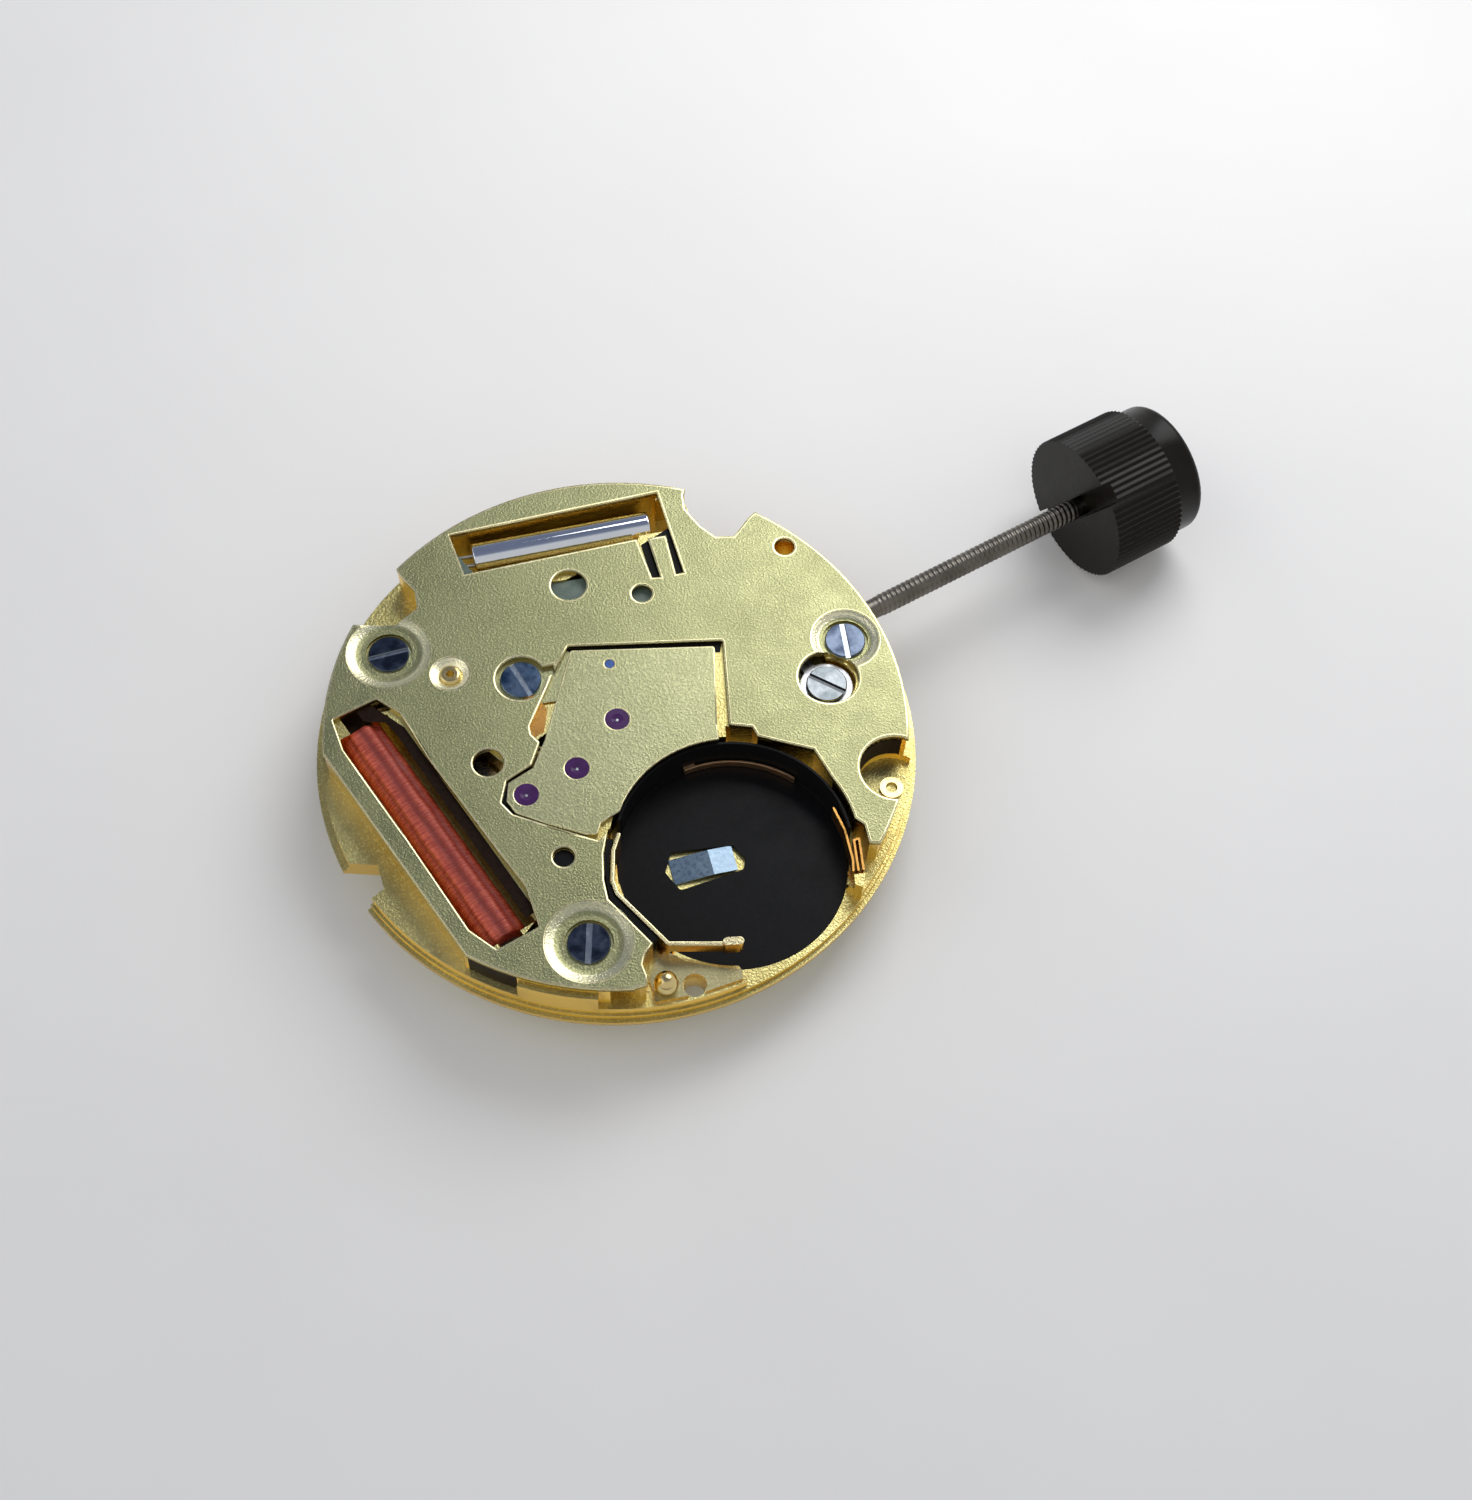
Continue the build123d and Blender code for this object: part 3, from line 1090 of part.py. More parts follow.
# Winding stem: pilot, square, groove for the lever and a long round shank
with BuildPart() as winding_stem:
    rod(pilot_radius, setting_place[0] + pocket_fit, pinion_from)
    with BuildSketch(along_stem.offset(pinion_from)):
        Rectangle(square_side, square_side)
    extrude(amount=groove_place - groove_half - pocket_fit - pinion_from)
    rod(stem_radius, groove_place - groove_half - pocket_fit, groove_place - groove_half)
    rod(groove_radius, groove_place - groove_half, groove_place + groove_half)
    rod(stem_radius, groove_place + groove_half, knob_face_place + knob_bore_length)
winding_stem.part.label = "winding_stem"
export_step(winding_stem.part, "parts/winding_stem.step")

# Sliding pinion with crown teeth towards the setting wheel
with BuildPart() as sliding_pinion:
    rod(pinion_radius, pinion_from, neck_from)
    rod(neck_radius, neck_from, neck_from + neck_length)
    rod(pinion_radius, neck_from + neck_length, pinion_from + pinion_length)
    with BuildSketch(along_stem.offset(pinion_from)):
        Rectangle(square_side + 2 * running_fit, square_side + 2 * running_fit)
    extrude(amount=pinion_length, mode=Mode.SUBTRACT)
    with BuildSketch(along_stem.offset(pinion_from)):
        with PolarLocations(pinion_radius, crown_teeth):
            Rectangle(2 * crown_depth, crown_gap)
    extrude(amount=crown_depth, mode=Mode.SUBTRACT)
sliding_pinion.part.label = "sliding_pinion"
export_step(sliding_pinion.part, "parts/sliding_pinion.step")

# Setting lever with the pin that rides in the stem's groove
with BuildPart() as setting_lever:
    with BuildSketch(Plane.XY.offset(lever_low)):
        add(bars([lever_at, lever_pin_at], lever_width))
        with Locations(lever_at):
            Circle(lever_hub_radius)
            Circle(lever_shoulder_radius + running_fit, mode=Mode.SUBTRACT)
    extrude(amount=lever_thickness)
    disc(lever_pin_at, lever_pin_radius, stem_height + groove_radius + running_fit, lever_low)
setting_lever.part.label = "setting_lever"
export_step(setting_lever.part, "parts/setting_lever.step")

# Yoke whose tip lies in the neck of the sliding pinion
with BuildPart() as yoke:
    with BuildSketch(Plane.XY.offset(yoke_low)):
        add(bars([yoke_at, yoke_tip_at], yoke_width))
        with Locations(yoke_at):
            Circle(yoke_hub_radius)
            Circle(stud_radius + running_fit, mode=Mode.SUBTRACT)
    extrude(amount=yoke_thickness)
yoke.part.label = "yoke"
export_step(yoke.part, "parts/yoke.step")

# Jumper spring beside the lever
with BuildPart() as jumper_spring:
    with BuildSketch(Plane.XY.offset(lever_floor)):
        add(bars(jumper_at, spring_width))
        with Locations(jumper_at[0]):
            Circle(yoke_hub_radius)
        with Locations(jumper_at[1]):
            Circle(spring_width)
    extrude(amount=spring_thickness)
jumper_spring.part.label = "jumper_spring"
export_step(jumper_spring.part, "parts/jumper_spring.step")

# Knob: ridged skirt, smooth cap and a slot across its inner face
with BuildPart() as setting_knob:
    with BuildSketch(along_stem.offset(knob_face_place)):
        Polygon(*[polar(origin, knob_radius - knob_ridge_depth * (number % 2), 180 / knob_ridges * number)
                  for number in range(2 * knob_ridges)], align=None)
    extrude(amount=knob_skirt_length)
    rod(knob_cap_radius, knob_face_place + knob_skirt_length,
        knob_face_place + knob_skirt_length + knob_cap_length)
    fillet(setting_knob.faces().sort_by(Axis.X)[-1].edges(), knob_edge)
    with BuildSketch(along_stem.offset(knob_face_place)):
        Rectangle(2 * knob_radius + overrun, knob_slot_width, rotation=knob_slot_angle)
    extrude(amount=knob_slot_depth, mode=Mode.SUBTRACT)
    rod(stem_radius, knob_face_place, knob_face_place + knob_bore_length, Mode.SUBTRACT)
setting_knob.part.label = "setting_knob"
export_step(setting_knob.part, "parts/setting_knob.step")
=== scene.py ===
import bpy
from math import degrees, exp, cos, pi, radians, sin
from mathutils import Matrix, Vector


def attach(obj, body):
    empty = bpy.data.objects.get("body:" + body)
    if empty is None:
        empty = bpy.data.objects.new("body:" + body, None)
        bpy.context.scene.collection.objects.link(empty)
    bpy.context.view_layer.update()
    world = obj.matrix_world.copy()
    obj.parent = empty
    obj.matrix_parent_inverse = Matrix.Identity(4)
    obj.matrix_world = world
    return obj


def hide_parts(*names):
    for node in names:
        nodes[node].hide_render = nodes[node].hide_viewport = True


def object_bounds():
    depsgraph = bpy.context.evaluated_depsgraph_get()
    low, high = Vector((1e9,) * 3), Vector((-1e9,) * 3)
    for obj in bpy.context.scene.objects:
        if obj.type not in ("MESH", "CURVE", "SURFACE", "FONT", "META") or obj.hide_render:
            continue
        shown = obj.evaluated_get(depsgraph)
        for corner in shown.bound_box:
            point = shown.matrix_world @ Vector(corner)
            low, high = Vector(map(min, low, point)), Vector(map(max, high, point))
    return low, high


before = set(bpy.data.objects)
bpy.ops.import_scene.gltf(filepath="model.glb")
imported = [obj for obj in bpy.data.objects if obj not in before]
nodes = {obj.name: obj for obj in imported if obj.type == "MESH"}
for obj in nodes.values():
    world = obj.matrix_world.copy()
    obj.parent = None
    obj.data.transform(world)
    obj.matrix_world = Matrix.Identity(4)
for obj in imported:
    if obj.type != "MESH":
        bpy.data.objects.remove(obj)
cad_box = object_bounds()
mm = 0.001

# Camera at the photograph's angle
right = Vector((0.85581, -0.51618, 0.03382))
up = Vector((0.43502, 0.75355, 0.49287))
back = Vector((-0.27989, -0.40710, 0.86944))
camera_data = bpy.data.cameras.new("camera")
camera_data.lens = 50.50
camera_data.sensor_width = 36.0
camera_data.clip_start = 0.001
camera = bpy.data.objects.new("camera", camera_data)
camera.matrix_world = Matrix.Translation(Vector((-21.040, -39.544, 78.801)) * mm) @ Matrix(
    (right, up, back)).transposed().to_4x4()
bpy.context.scene.collection.objects.link(camera)
bpy.context.scene.camera = camera
bpy.context.scene.view_settings.view_transform = "Standard"


def new_material(name):
    """Empty node material with its shader and output."""
    material = bpy.data.materials.new(name)
    material.use_nodes = True
    tree = material.node_tree
    tree.nodes.clear()
    shader = tree.nodes.new("ShaderNodeBsdfPrincipled")
    out = tree.nodes.new("ShaderNodeOutputMaterial")
    tree.links.new(shader.outputs["BSDF"], out.inputs["Surface"])
    return material, tree, shader


def noise(tree, scale, detail=3.0, rough=0.5, stretch=(1, 1, 1)):
    """Noise in object space; scale counts cells per metre."""
    place = tree.nodes.new("ShaderNodeTexCoord")
    mapping = tree.nodes.new("ShaderNodeMapping")
    mapping.inputs["Scale"].default_value = stretch
    texture = tree.nodes.new("ShaderNodeTexNoise")
    texture.inputs["Scale"].default_value = scale
    texture.inputs["Detail"].default_value = detail
    texture.inputs["Roughness"].default_value = rough
    tree.links.new(place.outputs["Object"], mapping.inputs["Vector"])
    tree.links.new(mapping.outputs["Vector"], texture.inputs["Vector"])
    return texture.outputs["Fac"]


def remap(tree, value, low, high, from_low=0.3, from_high=0.7):
    """Value stretched to a new range."""
    node = tree.nodes.new("ShaderNodeMapRange")
    node.inputs["From Min"].default_value = from_low
    node.inputs["From Max"].default_value = from_high
    node.inputs["To Min"].default_value = low
    node.inputs["To Max"].default_value = high
    tree.links.new(value, node.inputs["Value"])
    return node.outputs["Result"]


def mix(tree, factor, a, b):
    """Colour between a and b."""
    node = tree.nodes.new("ShaderNodeMix")
    node.data_type = "RGBA"
    tree.links.new(factor, node.inputs["Factor"])
    for socket, colour in (("A", a), ("B", b)):
        target = [s for s in node.inputs if s.name == socket and s.type == "RGBA"][0]
        if isinstance(colour, bpy.types.NodeSocket):
            tree.links.new(colour, target)
        else:
            target.default_value = (*colour, 1)
    return [s for s in node.outputs if s.type == "RGBA"][0]


def bump(tree, shader, height, strength, distance):
    """Relief of that depth in metres."""
    node = tree.nodes.new("ShaderNodeBump")
    node.inputs["Strength"].default_value = strength
    node.inputs["Distance"].default_value = distance
    tree.links.new(height, node.inputs["Height"])
    tree.links.new(node.outputs["Normal"], shader.inputs["Normal"])
    return node


def facing_up(tree, low=0.93, high=0.985):
    """One on faces that look up, nought on walls."""
    geometry = tree.nodes.new("ShaderNodeNewGeometry")
    split = tree.nodes.new("ShaderNodeSeparateXYZ")
    size = tree.nodes.new("ShaderNodeMath")
    size.operation = "ABSOLUTE"
    tree.links.new(geometry.outputs["True Normal"], split.inputs["Vector"])
    tree.links.new(split.outputs["Z"], size.inputs[0])
    return remap(tree, size.outputs[0], 0, 1, low, high)


def above(tree, height, soft=0.015):
    """One above a height of the part in millimetres, nought below it, with a soft step."""
    place = tree.nodes.new("ShaderNodeTexCoord")
    split = tree.nodes.new("ShaderNodeSeparateXYZ")
    tree.links.new(place.outputs["Object"], split.inputs["Vector"])
    return remap(tree, split.outputs["Z"], 0, 1, (height - soft) * mm, (height + soft) * mm)


def sheet_metal(name, face, face_dark, wall, rounded, face_rough, wall_rough, grain, polished_highlight_from=None):
    """Sheet with a satin, finely blasted face, polished walls in a tone of their own that is partly painted
    shade, and rounded edges in a bright third tone that is a painted highlight.
    """
    material, tree, shader = new_material(name)
    shader.inputs["Metallic"].default_value = 1.0
    tone = remap(tree, noise(tree, 260, 4), 0, 1)
    fine = noise(tree, 11000, 2, 0.6)
    bright = tuple(min(1.0, part * 1.35) for part in face)
    satin = mix(tree, remap(tree, fine, 0, 0.8, 0.5, 0.72), mix(tree, tone, face, face_dark), bright)
    flat = facing_up(tree)
    # Above that height, upward faces take the bright edge tone too, a painted highlight
    if polished_highlight_from:
        less = tree.nodes.new("ShaderNodeMath")
        less.operation = "SUBTRACT"
        less.use_clamp = True
        tree.links.new(flat, less.inputs[0])
        tree.links.new(above(tree, polished_highlight_from), less.inputs[1])
        flat = less.outputs[0]
    # Painted highlight: sloping bevelled edges get a bright tone; upright walls get a tone of their own,
    # partly painted shade
    side = mix(tree, facing_up(tree, 0.05, 0.25), wall, rounded)
    tree.links.new(mix(tree, flat, side, satin), shader.inputs["Base Color"])
    rough = remap(tree, noise(tree, 900, 4), face_rough - 0.05, face_rough + 0.05)
    blend = tree.nodes.new("ShaderNodeMix")
    blend.data_type = "FLOAT"
    tree.links.new(flat, blend.inputs["Factor"])
    blend.inputs["A"].default_value = wall_rough
    tree.links.new(rough, blend.inputs["B"])
    tree.links.new(blend.outputs["Result"], shader.inputs["Roughness"])
    bump(tree, shader, fine, grain, 0.000018)
    return material


def metal(name, colour, dark, rough, grain=0.15, scale=6000):
    """Plain metal with faint wear."""
    material, tree, shader = new_material(name)
    shader.inputs["Metallic"].default_value = 1.0
    texture = noise(tree, scale, 3)
    wear_and_painted_reflection = mix(tree, remap(tree, noise(tree, 700, 3), 0, 1), colour, dark)
    tree.links.new(wear_and_painted_reflection, shader.inputs["Base Color"])
    tree.links.new(remap(tree, texture, rough * 0.8, rough * 1.25), shader.inputs["Roughness"])
    bump(tree, shader, texture, grain, 0.000008)
    return material


def slotted(name, head, head_dark, slot, slot_floor, rough, step=0.035):
    """Polished screw head in two tones mixed in large patches as a painted reflection, with another tone in
    its slot, up to a step above the slot's floor.
    """
    material, tree, shader = new_material(name)
    shader.inputs["Metallic"].default_value = 1.0
    # Painted reflection: the head's two tones mixed in large patches
    wear_and_painted_reflection = mix(tree, remap(tree, noise(tree, 1300, 3), 0, 1, 0.4, 0.6), head, head_dark)
    tree.links.new(mix(tree, above(tree, slot_floor + step), slot, wear_and_painted_reflection), shader.inputs["Base Color"])
    tree.links.new(remap(tree, noise(tree, 4000, 3), rough * 0.8, rough * 1.3), shader.inputs["Roughness"])
    bump(tree, shader, noise(tree, 9000, 2), 0.15, 0.000006)
    return material


def plastic(name, colour, light, rough, grain, scale=5000, coat=0.0, specular=0.5):
    """Moulded plastic with a fine texture."""
    material, tree, shader = new_material(name)
    shader.inputs["Specular IOR Level"].default_value = specular
    texture = noise(tree, scale, 3)
    tree.links.new(mix(tree, remap(tree, texture, 0, 1), colour, light), shader.inputs["Base Color"])
    tree.links.new(remap(tree, noise(tree, 900, 3), rough * 0.85, rough * 1.15), shader.inputs["Roughness"])
    shader.inputs["Coat Weight"].default_value = coat
    shader.inputs["Coat Roughness"].default_value = 0.08
    bump(tree, shader, texture, grain, 0.00001)
    return material


def wire_wound(name, colour, dark, deep):
    """Hair-fine enamelled wire: patches of tone, with painted shade that darkens it down in the valleys
    between the lobes.
    """
    material, tree, shader = new_material(name)
    depth = tree.nodes.new("ShaderNodeAttribute")
    depth.attribute_name = "depth"
    patches = remap(tree, noise(tree, 2600, 4, 0.6, (0.7, 4, 0.7)), 0, 1, 0.36, 0.64)
    lit = mix(tree, patches, colour, dark)
    tree.links.new(mix(tree, depth.outputs["Fac"], lit, deep), shader.inputs["Base Color"])
    tree.links.new(remap(tree, noise(tree, 5000, 3), 0.34, 0.50), shader.inputs["Roughness"])
    shader.inputs["Coat Weight"].default_value = 0.12
    shader.inputs["Coat Roughness"].default_value = 0.30
    bump(tree, shader, noise(tree, 3000, 4, 0.65, (0.7, 5, 0.7)), 1.0, 0.00005)
    return material


# Materials
cover = sheet_metal("cover", (0.37, 0.37, 0.19), (0.31, 0.31, 0.155), (0.40, 0.31, 0.11), (1.0, 0.94, 0.62),
                    0.38, 0.22, 1.0)
bridge = sheet_metal("bridge", (0.41, 0.41, 0.225), (0.36, 0.36, 0.19), (0.46, 0.36, 0.14), (1.0, 0.94, 0.62),
                     0.36, 0.22, 0.9)
plate = sheet_metal("plate", (0.80, 0.70, 0.30), (0.52, 0.42, 0.14), (0.90, 0.60, 0.14), (1.0, 0.82, 0.28),
                    0.34, 0.14, 1.2)
contact = sheet_metal("contact", (0.52, 0.47, 0.25), (0.40, 0.35, 0.17), (0.92, 0.54, 0.13), (1.0, 0.86, 0.48),
                      0.36, 0.24, 0.4, polished_highlight_from=1.2)
copper = metal("copper", (0.98, 0.66, 0.38), (0.84, 0.48, 0.25), 0.36)
orange = metal("orange", (0.66, 0.35, 0.09), (0.48, 0.24, 0.06), 0.30)
brass = metal("brass", (0.84, 0.68, 0.32), (0.68, 0.52, 0.22), 0.20)
steel = metal("steel", (0.52, 0.53, 0.55), (0.40, 0.41, 0.43), 0.30)
bronze = metal("bronze", (0.16, 0.11, 0.07), (0.09, 0.06, 0.04), 0.40)
cover_screw = slotted("cover_screw", (0.10, 0.125, 0.17), (0.035, 0.045, 0.07), (0.40, 0.44, 0.47),
                      slot_floor=2.23, rough=0.20)
bridge_screw = slotted("bridge_screw", (0.13, 0.19, 0.28), (0.04, 0.08, 0.15), (0.42, 0.48, 0.54),
                       slot_floor=2.26, rough=0.18)
lever_screw = slotted("lever_screw", (0.24, 0.26, 0.27), (0.15, 0.17, 0.18), (0.07, 0.075, 0.08),
                      slot_floor=1.89, rough=0.24)
blade = metal("blade", (0.27, 0.35, 0.42), (0.20, 0.28, 0.36), 0.30, 0.10)
blue_steel = metal("blue_steel", (0.06, 0.10, 0.26), (0.04, 0.07, 0.18), 0.25, 0.10)
dark_steel = metal("dark_steel", (0.20, 0.18, 0.155), (0.11, 0.10, 0.085), 0.34)
mirror = metal("mirror", (0.80, 0.83, 0.88), (0.72, 0.76, 0.82), 0.07, 0.04)
tin = metal("tin", (0.60, 0.60, 0.58), (0.45, 0.45, 0.43), 0.35)
jewel = plastic("jewel", (0.055, 0.018, 0.085), (0.085, 0.030, 0.130), 0.14, 0.0, 1500, 0.0, 0.15)
well = plastic("well", (0.0045, 0.0045, 0.0048), (0.007, 0.007, 0.0075), 0.42, 0.25, specular=0.12)
knob = plastic("knob", (0.0045, 0.0035, 0.002), (0.008, 0.006, 0.0035), 0.30, 0.05, 3000, specular=0.16)
# Dark brown material for painted shade in gaps, openings and the notch
recess_shade = plastic("recess_shade", (0.010, 0.005, 0.003), (0.020, 0.010, 0.005), 0.45, 0.2, specular=0.08)
# Pale polished metal for the edge lips, its brightness partly a painted highlight
burnished_highlight = metal("burnished_highlight", (0.88, 0.80, 0.48), (0.74, 0.65, 0.34), 0.28, 0.05)
board = plastic("board", (0.10, 0.15, 0.12), (0.16, 0.21, 0.17), 0.45, 0.3, 2500)
chip = plastic("chip", (0.02, 0.02, 0.02), (0.03, 0.03, 0.03), 0.5, 0.3)
coil = wire_wound("coil", (0.88, 0.17, 0.085), (0.50, 0.055, 0.030), (0.20, 0.014, 0.009))

# Material of each solid, and the width of its rounded edges in millimetres
finish = {
    "cover_plate": cover, "train_bridge": bridge, "main_plate": plate, "motion_work_bridge": plate,
    "bridge_jewels": jewel, "motion_screws": steel, "rotor_magnet": steel, "rotor_pinion": steel,
    "intermediate_wheel": brass, "intermediate_pinion": steel, "second_wheel": brass, "second_arbor": steel,
    "third_wheel": brass, "third_pinion": blue_steel, "centre_wheel": brass, "cannon_pinion": steel,
    "minute_wheel": brass, "hour_wheel": brass, "setting_wheel": brass, "coil_winding": coil,
    "coil_core": bronze, "stator": steel, "quartz_crystal": mirror, "crystal_leads": tin,
    "circuit_board": board, "circuit_chip": chip, "battery_well": well, "positive_contact": contact,
    "negative_contact": blade, "side_spring": copper, "wall_spring": orange, "cover_screws": cover_screw,
    "bridge_screw": bridge_screw, "setting_lever_screw": lever_screw, "brass_eyelet": brass,
    "locating_stud": brass, "locating_bush": brass, "winding_stem": dark_steel, "sliding_pinion": steel,
    "setting_lever": steel, "yoke": steel, "jumper_spring": steel, "setting_knob": knob,
}
bevels = {
    "cover_plate": 0.07, "train_bridge": 0.07, "main_plate": 0.06, "positive_contact": 0.03,
    "wall_spring": 0.02, "side_spring": 0.015, "setting_knob": 0.03, "battery_well": 0.03,
    "cover_screws": 0.02, "bridge_screw": 0.02, "setting_lever_screw": 0.02, "setting_lever": 0.02,
}
for name, node in nodes.items():
    node.data.materials.clear()
    node.data.materials.append(finish[name])
    if name in bevels:
        weld = node.modifiers.new("weld", "WELD")
        weld.merge_threshold = 0.000002
        bevel = node.modifiers.new("bevel", "BEVEL")
        bevel.width = bevels[name] * mm
        bevel.segments = 2
        bevel.limit_method = "ANGLE"
        bevel.angle_limit = radians(35)


def piece_from(name, points, faces, material, smooth=True):
    """Mesh object from points in millimetres."""
    mesh = bpy.data.meshes.new(name)
    mesh.from_pydata([Vector(p) * mm for p in points], [], faces)
    mesh.materials.append(material)
    for face in mesh.polygons:
        face.use_smooth = smooth
    mesh.update()
    thing = bpy.data.objects.new(name, mesh)
    bpy.context.scene.collection.objects.link(thing)
    return thing


def tube_faces(rings, around):
    """Faces of a tube of rings, with flat ends."""
    faces = []
    for ring in range(rings - 1):
        for step in range(around):
            after = (step + 1) % around
            near, far = ring * around, (ring + 1) * around
            faces.append((near + step, near + after, far + after, far + step))
    faces.append(tuple(reversed(range(around))))
    faces.append(tuple((rings - 1) * around + step for step in range(around)))
    return faces


# Coil: lengthwise lobes crossed by fine turns, with the depth below the lobes kept for its material as painted
# shade, also darker in the troughs of the turns and on one side
coil_angle = radians(94.1)
coil_axis = Vector((cos(coil_angle), sin(coil_angle), 0))
coil_side = Vector((sin(coil_angle), -cos(coil_angle), 0))
coil_length, coil_radius, coil_turn, coil_around = 11.45, 0.955, 0.12, 112
coil_start = Vector((-9.0100, -0.7039, 1.22)) - coil_axis * 5.55
coil_rings = int(coil_length / coil_turn * 6) + 1
end_length, end_shrink = 0.25, 0.10
turn_height = 0.006
shaded_side = 92
# Place round the coil in degrees, width in degrees and depth in millimetres of each valley
valleys = ((133, 7, 0.060), (114, 6, 0.025), (96, 14, 0.100), (56, 14, 0.085), (172, 9, 0.050),
           (12, 10, 0.06), (216, 9, 0.06), (255, 11, 0.06), (300, 10, 0.06), (335, 9, 0.05))


def valley_depth(turned, along):
    """Depth of the valleys between the lobes at an angle and a place along the coil."""
    sunk = 0.0
    for middle, width, deep in valleys:
        drift = 1.2 * sin(1.3 * along + 0.05 * middle) + 0.6 * sin(3.7 * along + middle)
        away = (turned - middle - drift + 180) % 360 - 180
        sunk += deep * exp(-(away / width) ** 2)
    return sunk


points, painted_shades = [], []
for ring in range(coil_rings):
    along = coil_length * ring / (coil_rings - 1)
    from_end = min(along, coil_length - along)
    shrink = end_shrink * max(0.0, 1 - from_end / end_length) ** 2
    for step in range(coil_around):
        angle = 2 * pi * step / coil_around
        turned = 360 - degrees(angle)
        sunk = valley_depth(turned, along)
        wander = 0.010 * sin(1.7 * along + 3 * angle) + 0.007 * sin(4.3 * along + 2 * angle + 1.0)
        uneven = 2.0 * sin(0.9 * along) + 0.8 * sin(7 * angle)
        turn = turn_height * sin(2 * pi * along / coil_turn + angle + uneven)
        radius = coil_radius - sunk + wander + turn - shrink
        place = coil_start + coil_axis * along + coil_side * radius * cos(angle)
        points.append(place - Vector((0, 0, radius * sin(angle))))
        # Painted shade: one side of the coil darker, darker in the valleys and troughs of the turns, lighter
        # on their crests
        shaded = 0.30 / (1 + exp(min(40.0, (turned - shaded_side) / 4)))
        painted_shades.append(max(0.0, min(0.9, 9 * sunk + shaded - 0.06 - 12 * turn)))
winding = piece_from("winding", points, tube_faces(coil_rings, coil_around), coil)
layer = winding.data.attributes.new("depth", "FLOAT", "POINT")
layer.data.foreach_set("value", painted_shades)
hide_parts("coil_winding")
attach(winding, "plate")

# Thread of the stem, a rolled sleeve over the plain shank
thread_start, thread_end, thread_pitch, thread_around = 13.15, 24.0, 0.25, 48
thread_low, thread_height, run_out, stem_height = 0.452, 0.038, 0.3, 1.0
thread_length = thread_end - thread_start
thread_rings = int(thread_length / thread_pitch * 8) + 1
points = []
for ring in range(thread_rings):
    along = thread_length * ring / (thread_rings - 1)
    fade = min(1.0, min(along, thread_length - along) / run_out)
    for step in range(thread_around):
        angle = 2 * pi * step / thread_around
        phase = (along / thread_pitch + step / thread_around) % 1.0
        height = 1 - abs(2 * phase - 1)
        radius = thread_low + thread_height * fade * min(1.0, height * 1.4)
        points.append((thread_start + along, radius * cos(angle), stem_height + radius * sin(angle)))
thread = piece_from("thread", points, tube_faces(thread_rings, thread_around), dark_steel)
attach(thread, "stem")


def slab(name, outline_points, heights, material):
    """Flat piece with upright walls over an outline, all in millimetres."""
    low, high = heights
    count = len(outline_points)
    points = [(x, y, low) for x, y in outline_points] + [(x, y, high) for x, y in outline_points]
    faces = [tuple(reversed(range(count))), tuple(range(count, 2 * count))]
    for step in range(count):
        after = (step + 1) % count
        faces.append((step, after, count + after, count + step))
    thing = piece_from(name, points, faces, material, False)
    edge = thing.modifiers.new("edge", "BEVEL")
    edge.width = 0.002 * mm
    edge.segments = 2
    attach(thing, "plate")
    return thing


def sector_points(inner, outer, start, stop, middle=(0, 0), steps=16):
    """Outline of a ring's sector, in millimetres and degrees."""
    angles = [radians(start + (stop - start) * step / steps) for step in range(steps + 1)]
    rows = [(inner, angle) for angle in angles] + [(outer, angle) for angle in reversed(angles)]
    return [(middle[0] + radius * cos(angle), middle[1] + radius * sin(angle)) for radius, angle in rows]


def share_points(shares):
    """Points given as shares of the plate's radius, in millimetres."""
    return [(plate_radius * x, plate_radius * y) for x, y in shares]


# Thin dark films and linings in the gaps and openings: painted shade, the insulator partly a real black
# plastic spacer
plate_radius, body_radius = 12.798, 12.198
film = (2.2004, 2.2100)
# Black plastic sheet on the ledge, partly a real spacer and partly painted shade
insulator_and_shade = [(-3.05, -4.45), (-3.65, -5.30), (-4.05, -6.30), (-4.30, -7.10), (-3.80, -9.45),
             (-3.42, -9.38), (-4.03, -6.88), (-3.92, -6.22), (-3.21, -5.04), (-2.80, -4.62)]
slab("insulator_and_shade", insulator_and_shade, (0.955, 1.90), well)
leads_shade = [(0.371, 0.398), (0.512, 0.371), (0.574, 0.594), (0.418, 0.574)]
gap_top = [(-0.012, 0.331), (-0.006, 0.312), (0.422, 0.086), (0.418, 0.070), (0.432, 0.063), (0.455, 0.092)]
gap_left = [(-0.330, -0.012), (-0.422, -0.024), (-0.473, -0.086), (-0.461, -0.141), (-0.388, -0.228),
            (-0.300, -0.328), (-0.290, -0.316), (-0.380, -0.216), (-0.446, -0.139), (-0.450, -0.090),
            (-0.416, -0.038), (-0.330, -0.030)]
hole_middle, hole_radius, hole_steps = (-0.395, -0.356), 0.0340, 32
hole_shade = [(hole_middle[0] + hole_radius * cos(2 * pi * step / hole_steps),
                hole_middle[1] + hole_radius * sin(2 * pi * step / hole_steps)) for step in range(hole_steps)]
for name, shares in (("leads_shade", leads_shade), ("gap_top", gap_top), ("gap_left", gap_left),
                     ("hole_shade", hole_shade)):
    slab(name, share_points(shares), film, well)
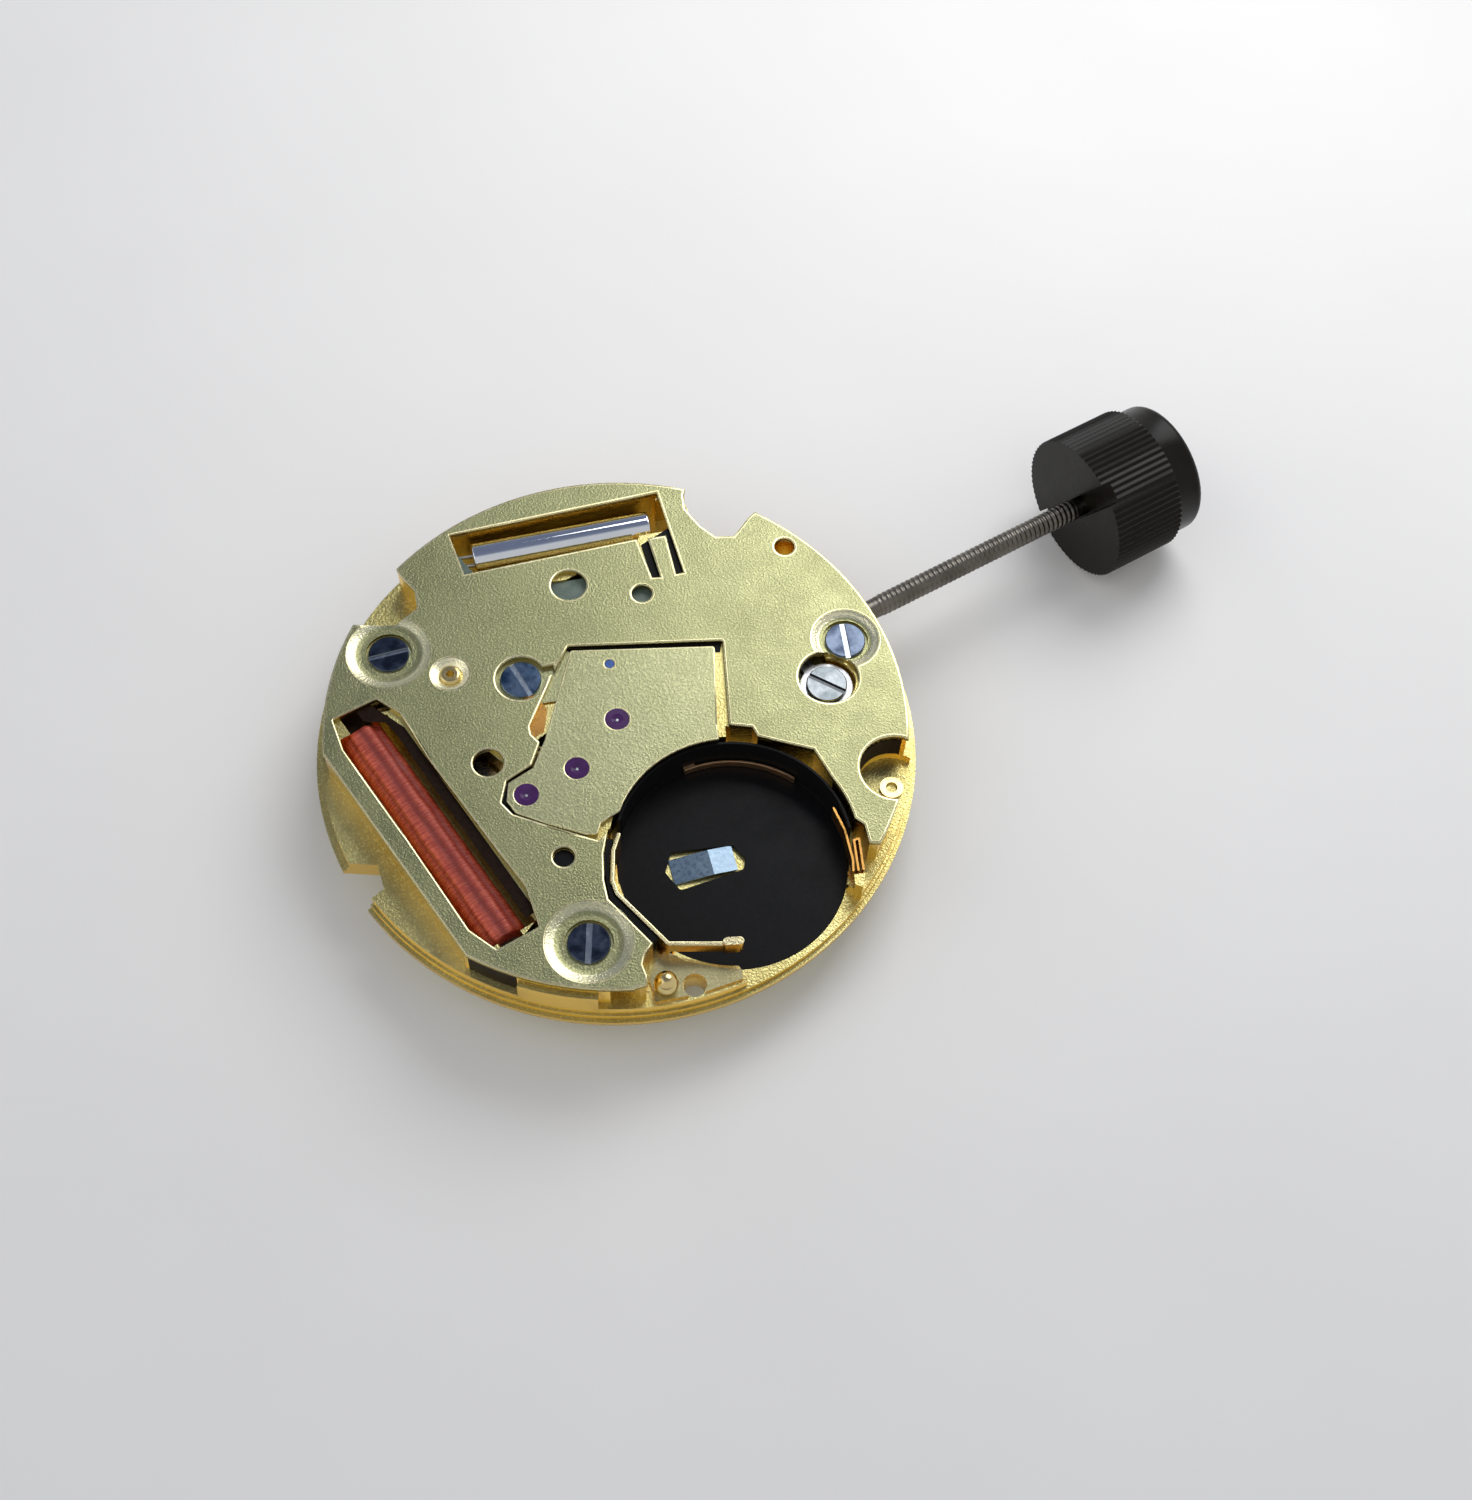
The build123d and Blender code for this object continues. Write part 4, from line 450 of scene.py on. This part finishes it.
# Painted shade in the dark gap to the right of the coil
coil_gap = [(-7.62, -6.10), (-7.12, -6.00), (-7.85, 4.20), (-8.60, 5.90), (-9.30, 6.10), (-9.20, 5.30),
            (-8.42, 4.80), (-8.28, 4.00)]
slab("coil_gap", coil_gap, film, recess_shade)
rim_opening = sector_points(body_radius - 0.70, body_radius + 0.012, 211.5, 221.4)
slab("opening_shade", rim_opening, (0.80, 2.15), recess_shade)
bush_notch = sector_points(1.46, 1.506, 46, 150, middle=(8.895, -7.820))
slab("notch_shade", bush_notch, (1.00, 2.15), recess_shade)
blade_end = [(-2.40, 2.90), (-2.25, 2.00), (-2.90, 1.10), (-4.00, 1.00), (-3.60, 2.10), (-2.95, 2.95)]
slab("blade_end", blade_end, film, orange)


def border_edges(mesh, height):
    """Edges round a mesh's flat faces at a height, as pairs of points with the face on their left."""
    sides = set()
    for face in mesh.polygons:
        corners = [mesh.vertices[index].co / mm for index in face.vertices]
        if face.normal.z < 0.99 or any(abs(corner.z - height) > 0.002 for corner in corners):
            continue
        keys = [(round(corner.x, 3), round(corner.y, 3)) for corner in corners]
        sides.update((a, b) for a, b in zip(keys, keys[1:] + keys[:1]) if a != b)
    return sorted((a, b) for a, b in sides if (b, a) not in sides)


def burnished_highlight_lip(name, node_name, height, width):
    """Rounded bright lip along every upper edge that a sheet has at a height, in a pale tone that is partly a
    painted highlight.
    """
    border = border_edges(nodes[node_name].data, height)
    inward = {}
    for a, b in border:
        along = Vector((b[0] - a[0], b[1] - a[1])).normalized()
        for key in (a, b):
            inward.setdefault(key, []).append(Vector((-along.y, along.x)))
    # Distance inward and height above the face of each row of points
    rows = ((-0.012, -0.07), (-0.006, -0.02), (0.3 * width, 0.006), (width, 0.002))
    points, index = [], {}
    for key in sorted(inward):
        mean = sum(inward[key], Vector((0, 0)))
        if mean.length < 0.2:
            mean = inward[key][0]
        mean.normalize()
        stretch = 1 / max(0.5, mean.dot(inward[key][0]))
        index[key] = len(points)
        for offset, rise in rows:
            moved = Vector(key) + mean * offset * stretch
            points.append((moved.x, moved.y, height + rise))
    faces = []
    for a, b in border:
        for row in range(len(rows) - 1):
            faces.append((index[a] + row, index[b] + row, index[b] + row + 1, index[a] + row + 1))
    lip = piece_from(name, points, faces, burnished_highlight)
    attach(lip, "plate")
    return lip


burnished_highlight_lip("cover_edge", "cover_plate", 2.44, 0.09)
burnished_highlight_lip("bridge_edge", "train_bridge", 2.41, 0.055)
burnished_highlight_lip("strip_edge", "positive_contact", 2.0, 0.05)

# Floor
floor_material, tree, shader = new_material("floor")
shade = remap(tree, noise(tree, 60, 4), 0, 1)
tree.links.new(mix(tree, shade, (0.90, 0.89, 0.87), (0.93, 0.92, 0.90)), shader.inputs["Base Color"])
shader.inputs["Roughness"].default_value = 0.85
floor_gap = 0.00002
bpy.ops.mesh.primitive_plane_add(size=2.0, location=(0, 0, cad_box[0][2] - floor_gap))
floor = bpy.context.object
floor.name = "floor"
floor.data.materials.append(floor_material)


def area_light(name, place, side, power):
    """Square soft box that looks at the part, in millimetres and watts."""
    data = bpy.data.lights.new(name, "AREA")
    data.shape = "RECTANGLE"
    data.size = side * mm
    data.size_y = side * mm
    data.energy = power
    light = bpy.data.objects.new(name, data)
    light.location = Vector(place) * mm
    light.rotation_euler = Vector(place).normalized().to_track_quat("Z", "Y").to_euler()
    bpy.context.scene.collection.objects.link(light)


area_light("key", (66, 40, 80), 70, 0.060)
area_light("fill", (-150, 60, 160), 160, 0.04)

# Surroundings: bright all round, dim where the part's faces mirror the sky to the camera
world = bpy.data.worlds.new("world")
bpy.context.scene.world = world
world.use_nodes = True
tree = world.node_tree
background = tree.nodes["Background"]
place = tree.nodes.new("ShaderNodeTexCoord")
toward = tree.nodes.new("ShaderNodeVectorMath")
toward.operation = "DOT_PRODUCT"
toward.inputs[1].default_value = (0.25, 0.43, 0.87)
tree.links.new(place.outputs["Generated"], toward.inputs[0])
ramp = tree.nodes.new("ShaderNodeValToRGB")
stops = ((0.0, (0.09, 0.08, 0.08)), (0.12, (0.30, 0.29, 0.28)), (0.28, (1.0, 0.99, 0.96)),
         (0.80, (0.97, 0.98, 1.0)), (0.89, (0.30, 0.34, 0.46)), (1.0, (0.24, 0.28, 0.40)))
while len(ramp.color_ramp.elements) < len(stops):
    ramp.color_ramp.elements.new(0.5)
for element, (spot, colour) in zip(ramp.color_ramp.elements, stops):
    element.position = spot
    element.color = (*colour, 1)
tree.links.new(remap(tree, toward.outputs["Value"], 0, 1, -0.6, 1.0), ramp.inputs["Fac"])
seen = tree.nodes.new("ShaderNodeLightPath")
tree.links.new(mix(tree, seen.outputs["Is Camera Ray"], ramp.outputs["Color"], (1.0, 1.0, 1.0)),
               background.inputs["Color"])
background.inputs["Strength"].default_value = 0.62
